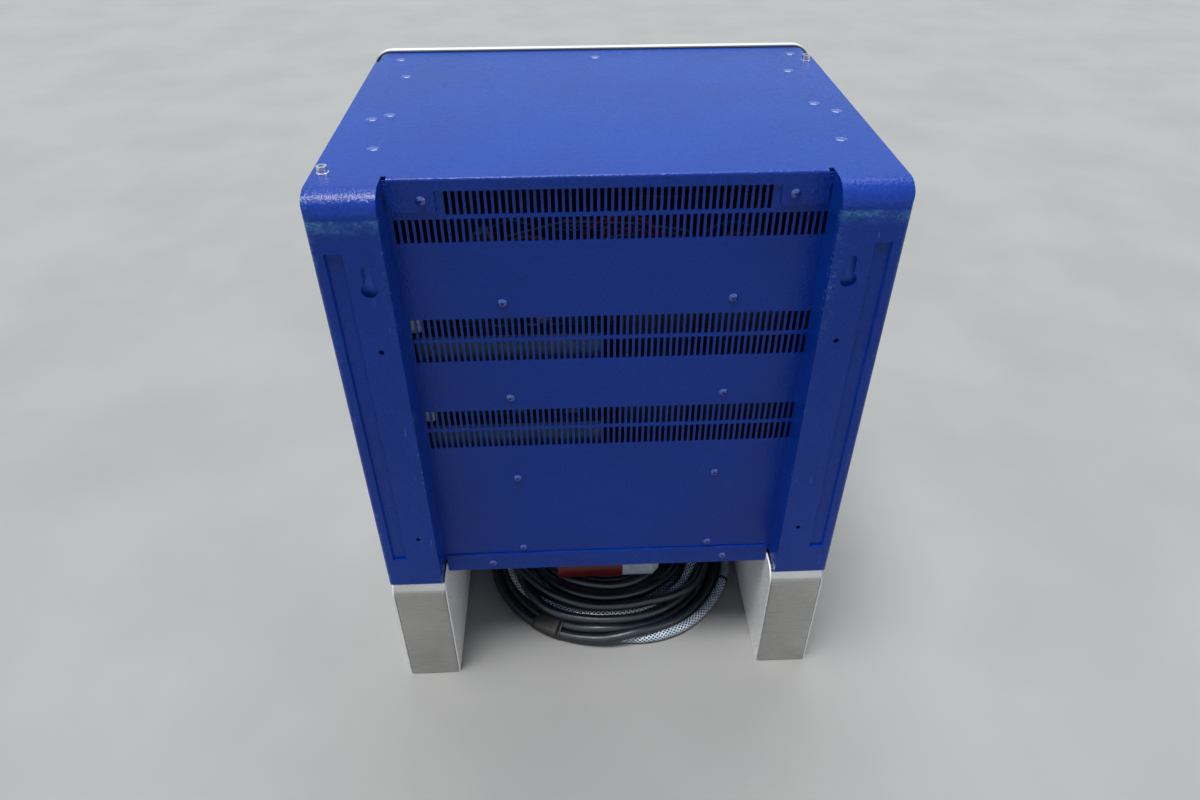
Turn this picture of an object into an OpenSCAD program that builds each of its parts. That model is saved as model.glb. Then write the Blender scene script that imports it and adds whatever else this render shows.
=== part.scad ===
// Industrial battery charger: a folded sheet cabinet on two box feet, with two plug-in power modules.
// The rear side, with the keyholes and the vent rows, faces -Y. The display side faces +Y.
// The origin lies on the floor, under the middle of the outer box without the cords.

/* [Cabinet] */
// Width of the housing over its two side walls
case_w = 550; // [530:5:640]
// Depth of the housing from the rear columns to the front edge of its top
case_d = 445; // [430:5:520]
// Height of the housing from the column ends to its top
case_h = 515; // [505:5:600]
// Thickness of the housing sheet
sheet = 2; // [1.5:0.1:2.5]
// Outer radius of the roll between the top and the rear columns
roll_r = 23; // [15:1:32]
// Bend radius of the upright rear corners
rear_corner_r = 5; // [3:0.5:8]
// Width of each rear column
column_w = 66; // [62:1:72]
// Depth of the recess between the rear columns
recess_d = 38; // [30:1:46]
// Drop of the lip that closes the recess at the top
lip_drop = 12.5; // [8:0.5:12.5]
// Width of each corner tab of the lip
tab_w = 45; // [36:1:48]
// Drop of each corner tab of the lip
tab_drop = 33; // [30:1:36]
// Size of the relief notch at each end of the lip
notch = 5; // [3:0.5:6]
// Step of the top sheet behind the front frame
front_step = 39; // [25:1:45]
// Radius of the front corners of the top sheet
top_corner_r = 12; // [6:1:20]

/* [Keyholes and beads] */
// Distance of each keyhole from the middle
keyhole_x = 228; // [226:1:232]
// Distance of the large keyhole circle below the top
keyhole_drop = 95; // [85:1:120]
// Diameter of the large keyhole circle
keyhole_d = 16; // [14:0.5:18]
// Width of the narrow keyhole slot
keyhole_slot_w = 8.4; // [6.4:0.2:10]
// Rise of the slot end above the large circle
keyhole_rise = 22; // [18:1:28]
// Diameter of the small holes in the columns
pin_hole_d = 5.5; // [4:0.5:7]
// Distance of the pressed bead from the middle
bead_x = 255; // [253:0.5:256]
// Width of the pressed bead
bead_w = 18; // [10:1:18]
// Width of each sloping side wall of the pressed bead
bead_slope = 2.4; // [1:0.2:4]
// Depth of the pressed bead
bead_depth = 3; // [1.5:0.5:4]
// Distance of the upper bead end below the top
bead_top_drop = 56; // [48:1:80]
// Distance of the lower bead end below the top
bead_low_drop = 470; // [400:1:480]

/* [Rear vents] */
// Thickness of the rear vent panel
panel_t = 1.5; // [1:0.1:2]
// Distance between neighbouring vent slots
slot_pitch = 6.6; // [6:0.1:6.6]
// Width of one vent slot
slot_w = 3.8; // [3:0.1:4.4]
// Height of one vent slot
slot_h = 24.5; // [20:0.5:26]
// Gap between the two rows of a vent group
slot_row_gap = 4.3; // [3:0.1:6]
// Slots in a full row
slot_count = 63; // [45:2:63]
// Slots in the short row between the corner tabs
short_count = 47; // [31:2:47]
// Sideways shift of the full rows
vent_shift = 3; // [0:0.5:3]
// Drop of the first vent row of each group below the top
vent_drops = [12.5, 152, 272];

/* [Base and feet] */
// Height of the feet under the housing
foot_h = 190; // [180:1:240]
// Drop of the base tray between the feet
tray_drop = 18; // [12:1:24]
// Height of the turned-up edges of the base tray
tray_edge_h = 28; // [22:1:32]
// Thickness of the steel of the foot shell
strip_t = 2; // [1.5:0.5:3]
// Bend radius of the foot shell
foot_r = 22; // [12:1:28]
// Height of the packer between each foot and the housing
foot_packer = 6; // [3:1:10]
// Thickness of the painted side plates of the feet
plate_t = 1.5; // [1:0.1:2]
// Width of the bottom flanges of the feet
foot_flange = 18; // [12:1:24]

/* [Front] */
// Overhang of the front panel past each side wall
front_overhang = 12; // [8:1:16]
// Rise of the front panel above the top
front_rise = 2.2; // [1:0.2:6]
// Corner radius of the front panel
front_r = 25; // [15:1:30]
// Depth of the front panel over its rim
front_d = 10; // [8:0.5:14]
// Thickness of the black gasket behind the front panel
gasket_t = 3; // [2:0.5:5]
// Width of the display window
display_w = 150; // [100:1:200]
// Height of the display window
display_h = 84; // [60:1:110]
// Width of the keypad foil
keypad_w = 150; // [110:1:200]
// Height of the keypad foil
keypad_h = 62; // [50:1:90]

/* [Power modules] */
// Vertical distance between the module bays
bay_pitch = 120; // [118:1:130]
// Thickness of the sheet of the module trays
tray_t = 1.5; // [1:0.1:2]
// Depth of the module trays
module_d = 350; // [345:5:355]
// Height of the heatsink with its fins
heatsink_h = 54; // [45:1:58]
// Number of fins of a heatsink
fin_count = 14; // [8:1:18]
// Thickness of a fin
fin_t = 2.5; // [1.5:0.1:4]
// Size of the square fan frame
fan_size = 92; // [80:1:96]
// Thickness of the fan frame
fan_t = 25; // [25:1:32]
// Blades of a fan rotor
blade_count = 7; // [5:1:9]
// Gap between the blade tips and the fan duct
tip_gap = 1.2; // [0.8:0.1:2]

/* [Cords] */
// Outer diameter of the two battery cables
dc_d = 14; // [12:0.5:14.5]
// Outer diameter of the supply cable
mains_d = 13.5; // [12:0.5:15]
// Outer diameter of the air hose
hose_d = 13.5; // [12:0.5:14]
// Inner radius of the cable coil
coil_in_r = 75; // [70:1:80]
// Outer radius of the cable coil
coil_out_r = 190; // [184:1:194]
// Height of the cable coil
coil_h = 40; // [38:1:44]

/* [Hidden] */

$fn = 48;
eps = 1;
fit_gap = 0.3;

front_w = case_w + 2 * front_overhang;
overall_d = case_d + gasket_t + front_d;
rear_y = -overall_d / 2;
face_y = rear_y + case_d;
top_z = foot_h + case_h;
inner_w = case_w - 2 * sheet;
recess_half = case_w / 2 - column_w;
lip_y = rear_y + recess_d - sheet;
panel_y = rear_y + recess_d;
panel_back_y = panel_y + panel_t;
panel_half = recess_half + 12;
side_cut_y = face_y - front_step;
corner_step = 4.5;
lip_edge_r = 2.5;

tray_z = foot_h - tray_drop;
tray_half = recess_half - 3;
foot_in = recess_half - 0.7;
foot_out = case_w / 2 - plate_t;
foot_y0 = rear_y + 2;
foot_y1 = face_y - 2;
foot_edge_r = 4;
foot_top = foot_h - foot_packer;
packer_inset = 4;
bolt_x = (foot_in + foot_out) / 2;
bolt_ys = [rear_y + 72, face_y - 72];
bolt_d = 8;
bolt_hole_d = 9;

frame_x = recess_half + 5;
frame_top = top_z - sheet - fit_gap;
frame_low = foot_h + sheet + fit_gap;
frame_y0 = panel_back_y + 3;
front_frame_y0 = side_cut_y - 14;
frame_y1 = front_frame_y0 - 1;
frame_flange = 38;
ledge_w = 14;
weld_d = 6;

screw_head_d = 9.5;
screw_head_h = 2.8;
screw_d = 5;
screw_hole_d = 5.5;
module_screw_x = [-108, 127];
screw_drops = [134, 255, 375, case_h - 20];
tab_screw_x = recess_half - 34;
tab_screw_drop = 21.5;
edge_screw_x = 148.5;
edge_screw_rise = 12.5;

cap_d = 10;
cap_h = 6;
cap_hole_d = 6.6;
cap_x = case_w / 2 - 11;
cap_sites = [[-cap_x, rear_y + 54], [cap_x, face_y - 60]];

module_y0 = rear_y + recess_d + 8;
module_half = frame_x - 1;
right_x1 = module_half - fit_gap - tray_t - 3;
core_w = 80;
core_l = 110;
core_h = 76;
core_leg = 20;
core_gap = 24;
winding_proud = 10;
half_gap = 12.2;
core_x = [right_x1 - 2 * core_w - core_gap - winding_proud, right_x1 - core_w - winding_proud];
core_y0 = module_y0 + 40;
left_x0 = -module_half + 10;
left_x1 = core_x[0] - winding_proud - half_gap;
heatsink_l = 250;
board_l = 240;
board_z = 8;
can_d = 35;
can_h = 55;
can_pitch = 44;
contactor_w = 54;
contactor_l = 74;
contactor_h = 60;
busbar_l = 170;
busbar_w = 30;
fan_x = right_x1 - 98;
fan_y0 = module_y0 + module_d - fan_t - 8;
duct_r = fan_size / 2 - 2.5;
hub_r = 17;
pin_d = 4;
pin_gap = 0.06;

coil_x = 5;
coil_y = -18;

function bay_z(k) = top_z - bay_pitch * (k + 1);

// Supply plug and battery connector, both lying on the coil
plug_axis = [-68, -85, coil_h + fit_gap + 33];
plug_len = 93;
grip_len = 53;
grip_boot = 24;
mouth_depth = 6;
plug_exit = plug_axis + [plug_len + fit_gap + grip_len + grip_boot - mouth_depth, 0, 0];
connector_at = [128, 25, coil_h + fit_gap];
connector_size = [66, 110, 50];
exit_z = tray_z - 45;
battery_z = connector_at[2] + 18;
air_z = connector_at[2] + 40;

// Routes of the cords where they are not coiled, from the cabinet to the coil and from the coil to their ends
dc_lead_1_route = [
    [-70, 144, exit_z], [-71, 143, 100], [-80, 133, 73], [-97, 112, 50], [-112, 87, 36], [-120, 65, 30]];
dc_lead_2_route = [
    [-54, 109, exit_z], [-55, 108, 100], [-64, 98, 73], [-80, 78, 50], [-95, 54, 36], [-105, 32, 30]];
mains_lead_route = [
    [-38, 75, exit_z], [-37, 75, 100], [-27, 79, 73], [-5, 84, 50], [22, 84, 36], [46, 78, 30]];
hose_lead_route = [
    [20, 141, exit_z], [19, 141, 100], [7, 139, 73], [-14, 131, 50], [-37, 119, 36], [-55, 107, 30]];
dc_tail_1_route = [
    [127, -117, 30], [150, -80, 32.5], [158, -46, 41], [153, -18, 50], [146, 4, 56.5], [141.5, 22, battery_z],
    [141.5, 40, battery_z]];
dc_tail_2_route = [
    [90, -100, 30], [111, -74, 33], [120, -46, 42], [119, -18, 51.5], [116, 4, 57], [114.5, 22, battery_z],
    [114.5, 40, battery_z]];
hose_tail_route = [
    [119, -106, 22], [132, -79, 31], [139, -56, 43], [137, -36, 56.5], [132, -16, 69.5], [128.5, 4, 78],
    [128, 22, air_z], [128, 36, air_z]];
mains_tail_route = [
    plug_exit, [108, -85, 73.3], [128, -83.5, 69.5], [149, -77, 59.5], [167, -65, 46], [179, -48, 32.5],
    [184, -30, 22]];

// Routes of the wires in the top bay, over its shelf
loom_red = [
    [-127, -141, 9], [-122, -136, 24], [-60, -126, 35], [10, -126, 31], [64, -134, 26], [83, -141, 9]];
loom_white = [[-140, -148, 11], [-142, -138, 33], [-100, -118, 43], [-60, -122, 33], [-40, -146, 11]];
loom_orange = [[-24, -148, 11], [-10, -138, 31], [30, -120, 39], [66, -128, 31], [74, -148, 11]];

// Helpers

module slab(low, high) {
    translate(low) cube(high - low);
}

module along_x(x0, x1) {
    translate([x0, 0, 0]) rotate([90, 0, 90]) linear_extrude(x1 - x0) children();
}

module along_y(y0, y1) {
    translate([0, y1, 0]) rotate([90, 0, 0]) linear_extrude(y1 - y0) children();
}

module both_sides() {
    children();
    mirror([1, 0, 0]) children();
}

module rect(low, high) {
    translate(low) square(high - low);
}

module round_rect(low, high, r) {
    rect([low[0] + r, low[1]], [high[0] - r, high[1]]);
    rect([low[0], low[1] + r], [high[0], high[1] - r]);
    for (x = [low[0] + r, high[0] - r], y = [low[1] + r, high[1] - r]) {
        translate([x, y]) circle(r);
    }
}

// A rectangle with its two upper corners rounded
module arch_rect(low, high, r) {
    rect(low, [high[0], high[1] - r]);
    rect([low[0] + r, low[1]], [high[0] - r, high[1]]);
    for (x = [low[0] + r, high[0] - r]) translate([x, high[1] - r]) circle(r);
}

module rod(from, axis, d, h) {
    turn = axis == "x" ? [0, 90, 0] : axis == "y" ? [-90, 0, 0] : [0, 0, 0];
    translate(from) rotate(turn) cylinder(d = d, h = h);
}

module hex_rod(from, axis, flats, h) {
    turn = axis == "x" ? [0, 90, 0] : axis == "y" ? [-90, 0, 0] : [0, 0, 0];
    translate(from) rotate(turn) cylinder(d = flats / cos(30), h = h, $fn = 6);
}

function unit(v) = v / norm(v);
function route_dir(p, i) =
    i == 0 ? unit(p[1] - p[0])
    : i == len(p) - 1 ? unit(p[i] - p[i - 1])
    : unit(unit(p[i + 1] - p[i]) + unit(p[i] - p[i - 1]));

// A tube swept along the points of a route, with one ring of the given number of sides at each point
module route_tube(p, d, sides = 10, side_ref = [0.35, 0.93, 0.12]) {
    rings = len(p);
    points = [
        for (i = [0:rings - 1])
            let (t = route_dir(p, i), u = unit(cross(t, side_ref)), v = cross(t, u))
            for (s = [0:sides - 1]) p[i] + d / 2 * (cos(360 * s / sides) * u + sin(360 * s / sides) * v)
    ];
    walls = [
        for (i = [0:rings - 2], s = [0:sides - 1])
            let (a = i * sides + s, b = i * sides + (s + 1) % sides)
            each [[a, b + sides, b], [a, a + sides, b + sides]]
    ];
    start = [for (s = [0:sides - 1]) s];
    end = [for (s = [0:sides - 1]) rings * sides - 1 - s];
    polyhedron(points = points, faces = concat(walls, [start], [end]));
}

// Housing

module side_profile(inset, front) {
    r = roll_r - inset;
    y0 = rear_y + inset;
    z1 = top_z - inset;
    rect([y0, foot_h - (inset > 0 ? eps : 0)], [front, z1 - r]);
    rect([y0 + r, z1 - r - eps], [front, z1]);
    translate([y0 + r, z1 - r]) circle(r, $fn = 96);
}

// The housing's outline from above, with its two upright rear corners rounded
module plan_prism(inset, low, high) {
    x = case_w / 2 - inset;
    y = rear_y + inset;
    r = rear_corner_r - inset;
    translate([0, 0, low]) linear_extrude(high - low) {
        rect([-x, y + r], [x, face_y + 2]);
        rect([r - x, y], [x - r, y + 2 * r]);
        for (s = [-1, 1]) translate([s * (x - r), y + r]) circle(r);
    }
}

// A bead with square ends and sloping side walls, widened by the given amount
module bead(extra, y0, y1) {
    z0 = top_z - bead_low_drop - extra;
    z1 = top_z - bead_top_drop + extra;
    half = bead_w / 2 + extra;
    translate([bead_x, 0, z0]) linear_extrude(z1 - z0) {
        polygon([[-half, y0], [half, y0], [half - bead_slope, y1], [bead_slope - half, y1]]);
    }
}

module keyhole_cut() {
    z = top_z - keyhole_drop;
    rod([keyhole_x, rear_y - eps, z], "y", keyhole_d, sheet + 2 * eps);
    rod([keyhole_x, rear_y - eps, z + keyhole_rise], "y", keyhole_slot_w, sheet + 2 * eps);
    slab([keyhole_x - keyhole_slot_w / 2, rear_y - eps, z],
         [keyhole_x + keyhole_slot_w / 2, rear_y + sheet + eps, z + keyhole_rise]);
}

module front_corner_cut() {
    x0 = case_w / 2 - corner_step;
    r = top_corner_r;
    slab([x0, side_cut_y, foot_h - eps], [case_w / 2 + eps, face_y + eps, top_z + eps]);
    difference() {
        slab([x0 - r, face_y - r, foot_h], [x0 + eps, face_y + eps, top_z + eps]);
        translate([x0 - r, face_y - r, 0]) cylinder(r = r, h = top_z + 2 * eps);
    }
}

module housing_cover() {
    color([0.10, 0.20, 0.55]) difference() {
        union() {
            difference() {
                intersection() {
                    along_x(-case_w / 2 - 1, case_w / 2 + 1) side_profile(0, face_y);
                    plan_prism(0, foot_h - 1, top_z + 1);
                }
                intersection() {
                    along_x(-inner_w / 2 - 1, inner_w / 2 + 1) side_profile(sheet, face_y + eps);
                    plan_prism(sheet, foot_h - 1, top_z + 1);
                }
                slab([-recess_half, rear_y - eps, foot_h - eps], [recess_half, lip_y, top_z + eps]);
            }
            both_sides() along_x(recess_half, recess_half + sheet) intersection() {
                side_profile(0, face_y);
                rect([rear_y - eps, foot_h], [panel_y, top_z + eps]);
            }
            slab([-recess_half, lip_y, top_z - lip_drop], [recess_half, lip_y + sheet, top_z]);
            both_sides() slab([recess_half - 2 - tab_w, lip_y, top_z - tab_drop],
                              [recess_half - 2, lip_y + sheet, top_z]);
            both_sides() bead(sheet, rear_y + sheet / 2, rear_y + bead_depth + sheet);
        }
        both_sides() bead(0, rear_y - eps, rear_y + bead_depth);
        both_sides() keyhole_cut();
        both_sides() for (drop = [165, 435]) {
            rod([keyhole_x, rear_y - eps, top_z - drop], "y", pin_hole_d, sheet + 2 * eps);
        }
        both_sides() slab([recess_half - notch, lip_y - eps, top_z - notch],
                          [recess_half, lip_y + sheet + notch, top_z + eps]);
        both_sides() front_corner_cut();
        both_sides() {
            rod([tab_screw_x, lip_y - eps, top_z - tab_screw_drop], "y", screw_hole_d, sheet + 2 * eps);
        }
        for (p = cap_sites) rod([p[0], p[1], top_z - sheet - eps], "z", cap_hole_d, sheet + 2 * eps);
        along_x(-recess_half, recess_half) difference() {
            rect([lip_y - eps, top_z - lip_edge_r], [lip_y + lip_edge_r, top_z + eps]);
            translate([lip_y + lip_edge_r, top_z - lip_edge_r]) circle(lip_edge_r);
        }
    }
}

module slot_row(count, shift, z_top) {
    span = (count - 1) * slot_pitch + slot_w;
    for (i = [0:count - 1]) {
        translate([shift - span / 2 + i * slot_pitch, z_top - slot_h]) square([slot_w, slot_h]);
    }
}

module rear_vent_panel() {
    color([0.10, 0.20, 0.55]) along_y(panel_y, panel_back_y) difference() {
        union() {
            rect([-panel_half, frame_low], [panel_half, frame_top]);
            rect([-tray_half + sheet + fit_gap, tray_z + sheet + fit_gap],
                 [tray_half - sheet - fit_gap, frame_low + eps]);
        }
        for (i = [0:len(vent_drops) - 1]) {
            z = top_z - vent_drops[i];
            slot_row(i == 0 ? short_count : slot_count, i == 0 ? 0 : vent_shift, z);
            slot_row(slot_count, vent_shift, z - slot_h - slot_row_gap);
        }
        for (x = module_screw_x, drop = screw_drops) translate([x, top_z - drop]) circle(d = screw_hole_d);
        for (s = [-1, 1]) {
            translate([s * tab_screw_x, top_z - tab_screw_drop]) circle(d = screw_hole_d);
            translate([s * edge_screw_x, tray_z + edge_screw_rise]) circle(d = screw_hole_d);
        }
    }
}

module base_tray() {
    gland_sites = [dc_lead_1_route[0], dc_lead_2_route[0], mains_lead_route[0]];
    color([0.10, 0.20, 0.55]) difference() {
        union() {
            slab([-tray_half, lip_y, tray_z], [tray_half, face_y, tray_z + sheet]);
            slab([-tray_half, lip_y, tray_z], [tray_half, lip_y + sheet, tray_z + tray_edge_h]);
            slab([-tray_half, face_y - sheet, tray_z], [tray_half, face_y, tray_z + tray_edge_h]);
            both_sides() slab([tray_half - sheet, lip_y, tray_z], [tray_half, face_y, foot_h + sheet]);
            both_sides() slab([tray_half - sheet, panel_y + fit_gap, foot_h],
                              [inner_w / 2 - fit_gap, face_y, foot_h + sheet]);
            both_sides() intersection() {
                slab([recess_half + sheet + fit_gap, rear_y + sheet + fit_gap, foot_h],
                     [inner_w / 2 + 1, panel_y + 2 * fit_gap, foot_h + sheet]);
                plan_prism(sheet + fit_gap, foot_h - 1, foot_h + sheet + 1);
            }
        }
        for (s = [-1, 1]) {
            rod([s * edge_screw_x, lip_y - eps, tray_z + edge_screw_rise], "y",
                screw_hole_d, sheet + 2 * eps);
        }
        for (s = [-1, 1], y = bolt_ys) rod([s * bolt_x, y, foot_h - eps], "z", bolt_hole_d, sheet + 2 * eps);
        for (p = gland_sites) {
            rod([p[0], p[1], tray_z - eps], "z", gland_thread_d + 2 * fit_gap, sheet + 2 * eps);
        }
        rod([hose_lead_route[0][0], hose_lead_route[0][1], tray_z - eps], "z",
            hose_thread_d + 2 * fit_gap, sheet + 2 * eps);
    }
}

module side_frame(side) {
    color([0.62, 0.64, 0.66]) mirror([side < 0 ? 1 : 0, 0, 0]) difference() {
        union() {
            slab([frame_x, frame_y0, frame_low], [frame_x + sheet, frame_y1, frame_top]);
            slab([frame_x, frame_y0, frame_top - sheet], [frame_x + frame_flange, frame_y1, frame_top]);
            slab([frame_x, frame_y0, frame_low], [frame_x + frame_flange, frame_y1, frame_low + sheet]);
            for (k = [0:2]) {
                slab([frame_x - ledge_w, module_y0, bay_z(k) - sheet], [frame_x + sheet, frame_y1, bay_z(k)]);
            }
        }
        for (y = bolt_ys) rod([bolt_x, y, frame_low - eps], "z", bolt_hole_d, sheet + 2 * eps);
        for (k = [0:2], y = [module_y0 + 60, module_y0 + 180, module_y0 + 290]) {
            slab([frame_x - eps, y, bay_z(k) + 34], [frame_x + sheet + eps, y + 60, bay_z(k) + 74]);
        }
    }
}

// Feet

module foot_profile(inset, drop = 0) {
    arch_rect([foot_y0 + inset, -drop], [foot_y1 - inset, foot_top - inset], foot_r - inset);
}

module foot_shell(side) {
    color([0.72, 0.71, 0.68]) mirror([side < 0 ? 1 : 0, 0, 0]) difference() {
        union() {
            difference() {
                intersection() {
                    along_x(foot_in, foot_out) foot_profile(0);
                    linear_extrude(foot_top) round_rect([foot_in, foot_y0], [foot_out, foot_y1], foot_edge_r);
                }
                along_x(foot_in + strip_t, foot_out - strip_t) foot_profile(strip_t, eps);
                along_x(foot_in - eps, foot_out + eps) foot_profile(strip_t + 9, eps);
            }
            for (y = [foot_y0 + strip_t / 2, foot_y1 - strip_t / 2 - foot_flange]) {
                slab([foot_in + strip_t, y, 0], [foot_out - strip_t, y + foot_flange, strip_t]);
            }
            slab([foot_in + packer_inset, foot_y0 + foot_r + packer_inset, foot_top - strip_t / 2],
                 [foot_out - packer_inset, foot_y1 - foot_r - packer_inset, foot_h]);
        }
        for (y = bolt_ys) {
            rod([bolt_x, y, foot_top - strip_t - eps], "z", bolt_hole_d, foot_packer + strip_t + 2 * eps);
        }
    }
}

module foot_plate(x0) {
    along_x(x0, x0 + plate_t) foot_profile(1.5);
    inward = x0 < bolt_x ? 1 : -1;
    x1 = x0 < bolt_x ? x0 + plate_t : x0;
    y0 = foot_y0 + strip_t + foot_flange + 4;
    y1 = foot_y1 - strip_t - foot_flange - 4;
    slab([min(x1, x1 + inward * 10), y0, 0], [max(x1, x1 + inward * 10), y1, plate_t]);
}

module foot_plates(side) {
    color([0.86, 0.86, 0.84]) mirror([side < 0 ? 1 : 0, 0, 0]) {
        foot_plate(foot_in - plate_t);
        foot_plate(foot_out);
    }
}

module foot_bolts() {
    color([0.75, 0.75, 0.74]) for (s = [-1, 1], y = bolt_ys) {
        z0 = foot_top - strip_t;
        z1 = frame_low + sheet;
        hex_rod([s * bolt_x, y, z0 - 5.3], "z", 13, 5.3);
        rod([s * bolt_x, y, z0 - eps], "z", bolt_d, z1 - z0 + 10);
        hex_rod([s * bolt_x, y, z1], "z", 13, 6.5);
    }
}

// Fasteners

module button_screw(x, y, z, grip) {
    dome_r = 6.4;
    translate([x, y, z]) rotate([90, 0, 0]) difference() {
        union() {
            intersection() {
                translate([0, 0, screw_head_h - dome_r]) sphere(r = dome_r, $fn = 48);
                cylinder(d = screw_head_d, h = screw_head_h + eps);
            }
            translate([0, 0, -grip - 4]) cylinder(d = screw_d, h = grip + 4 + eps / 2);
            translate([0, 0, -grip - 3.5]) cylinder(d = 8 / cos(30), h = 3.5, $fn = 6);
        }
        translate([0, 0, screw_head_h - 1.6]) cylinder(d = 3 / cos(30), h = 2, $fn = 6);
    }
}

module panel_screws() {
    color([0.10, 0.20, 0.55]) {
        for (x = module_screw_x, drop = screw_drops) button_screw(x, panel_y, top_z - drop, panel_t);
        for (s = [-1, 1]) {
            button_screw(s * tab_screw_x, lip_y, top_z - tab_screw_drop, sheet + panel_t);
            button_screw(s * edge_screw_x, lip_y, tray_z + edge_screw_rise, sheet + panel_t);
        }
    }
}

module top_cap_screws() {
    color([0.80, 0.80, 0.78]) for (p = cap_sites) translate([p[0], p[1], top_z]) difference() {
        union() {
            cylinder(d = 12, h = 0.8);
            cylinder(d = cap_d, h = 0.8 + cap_h);
            translate([0, 0, -sheet - 7]) cylinder(d = 6, h = sheet + 7 + eps / 2);
            translate([0, 0, -sheet - 5]) cylinder(d = 10 / cos(30), h = 5, $fn = 6);
        }
        translate([0, 0, 0.8 + cap_h - 3]) cylinder(d = 5 / cos(30), h = 4, $fn = 6);
    }
}

// Front

front_low = tray_z;
front_high = top_z + front_rise;
display_z = top_z - 150;
keypad_z = display_z - display_h / 2 - keypad_h / 2 - 22;
front_out_y = overall_d / 2;

module front_outline(inset) {
    round_rect([-front_w / 2 + inset, front_low + inset],
               [front_w / 2 - inset, front_high - inset], front_r - inset);
}

module display_outline(inset, r) {
    round_rect([-display_w / 2 + inset, display_z - display_h / 2 + inset],
               [display_w / 2 - inset, display_z + display_h / 2 - inset], r);
}

module keypad_outline(inset, r) {
    round_rect([-keypad_w / 2 + inset, keypad_z - keypad_h / 2 + inset],
               [keypad_w / 2 - inset, keypad_z + keypad_h / 2 - inset], r);
}

module front_frame() {
    x = inner_w / 2 - fit_gap;
    z0 = frame_low;
    z1 = frame_top;
    color([0.06, 0.06, 0.07]) difference() {
        slab([-x, front_frame_y0, z0], [x, face_y, z1]);
        slab([-x + sheet, front_frame_y0 - eps, z0 + sheet], [x - sheet, face_y - sheet, z1 - sheet]);
        slab([-x + 22, side_cut_y, z0 + 22], [x - 22, face_y + eps, z1 - 22]);
        slab([-tray_half - fit_gap, face_y - sheet - fit_gap, z0 - eps],
             [tray_half + fit_gap, face_y + eps, tray_z + tray_edge_h + fit_gap]);
    }
}

module front_gasket() {
    color([0.05, 0.05, 0.05]) along_y(face_y, face_y + gasket_t) difference() {
        front_outline(1);
        front_outline(front_r - 2);
    }
}

module front_panel() {
    y0 = face_y + gasket_t;
    color([0.86, 0.87, 0.86]) difference() {
        along_y(y0, front_out_y) front_outline(0);
        along_y(y0 - eps, front_out_y - sheet) front_outline(sheet);
        along_y(y0, front_out_y + eps) display_outline(5, 4);
        along_y(front_out_y - 1, front_out_y + eps) keypad_outline(0, 6);
    }
}

module display_window() {
    color([0.08, 0.10, 0.12]) {
        along_y(front_out_y - sheet - 3, front_out_y - sheet) display_outline(0, 5);
        along_y(front_out_y - sheet - eps, front_out_y - 0.6) display_outline(5 + fit_gap, 3.7);
    }
}

module membrane_keypad() {
    key_w = 30;
    key_h = 26;
    key_pitch = key_w + 6;
    color([0.20, 0.22, 0.25]) {
        along_y(front_out_y - 1, front_out_y - 0.6) keypad_outline(fit_gap, 5.7);
        for (i = [-1.5:1:1.5]) along_y(front_out_y - 0.8, front_out_y) {
            round_rect([i * key_pitch - key_w / 2, keypad_z - 24],
                       [i * key_pitch + key_w / 2, keypad_z - 24 + key_h], 4);
        }
        for (i = [-1:1]) along_y(front_out_y - 0.8, front_out_y - 0.2) {
            translate([i * key_pitch, keypad_z + 18]) circle(d = 7);
        }
    }
}

module control_board() {
    y1 = front_out_y - sheet - 3;
    y0 = front_out_y - 12;
    half = display_w / 2 + 12;
    z0 = keypad_z - keypad_h / 2 - 8;
    z1 = display_z + display_h / 2 + 8;
    color([0.10, 0.35, 0.18]) {
        slab([-half, y0, z0], [half, y0 + 1.6, z1]);
        slab([-display_w / 2 + 8, y0 + 1, display_z - display_h / 2 + 8],
             [display_w / 2 - 8, y1 - fit_gap, display_z + display_h / 2 - 8]);
        for (x = [-60, -20, 24, 58]) slab([x - 9, y0 - 5, z0 + 20], [x + 9, y0 + 1, z0 + 46]);
        for (x = [-half + 6, half - 6], z = [z0 + 6, z1 - 6]) rod([x, y0, z], "y", 6, y1 + 3 - y0 - fit_gap);
    }
}

// Power modules

module module_tray(k) {
    z = bay_z(k);
    half = module_half - fit_gap;
    color([0.50, 0.54, 0.53]) difference() {
        union() {
            slab([-half, module_y0, z], [half, module_y0 + module_d, z + tray_t]);
            both_sides() slab([half - tray_t, module_y0, z], [half, module_y0 + module_d, z + 24]);
            slab([left_x0, module_y0, z], [left_x1, module_y0 + tray_t, z + heatsink_h + 8]);
            slab([left_x0, module_y0, z + heatsink_h + 8 - tray_t],
                 [left_x1, module_y0 + 12, z + heatsink_h + 8]);
            slab([-half, module_y0 + module_d - tray_t, z], [half, module_y0 + module_d, z + 24]);
        }
        for (x = [20:24:152]) slab([x, module_y0 + 60, z - eps], [x + 10, module_y0 + 190, z + tray_t + eps]);
    }
}

module heatsink(k) {
    z = bay_z(k) + tray_t;
    x0 = left_x0 + 6;
    x1 = left_x1 - 6;
    y0 = module_y0 + 16;
    y1 = y0 + heatsink_l;
    base = 8;
    color([0.66, 0.67, 0.68]) {
        slab([x0, y0, z + heatsink_h - base], [x1, y1, z + heatsink_h]);
        for (i = [0:fin_count - 1]) {
            x = x0 + i * (x1 - x0 - fin_t) / (fin_count - 1);
            slab([x, y0, z], [x + fin_t, y1, z + heatsink_h - base + eps]);
        }
    }
}

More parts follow.
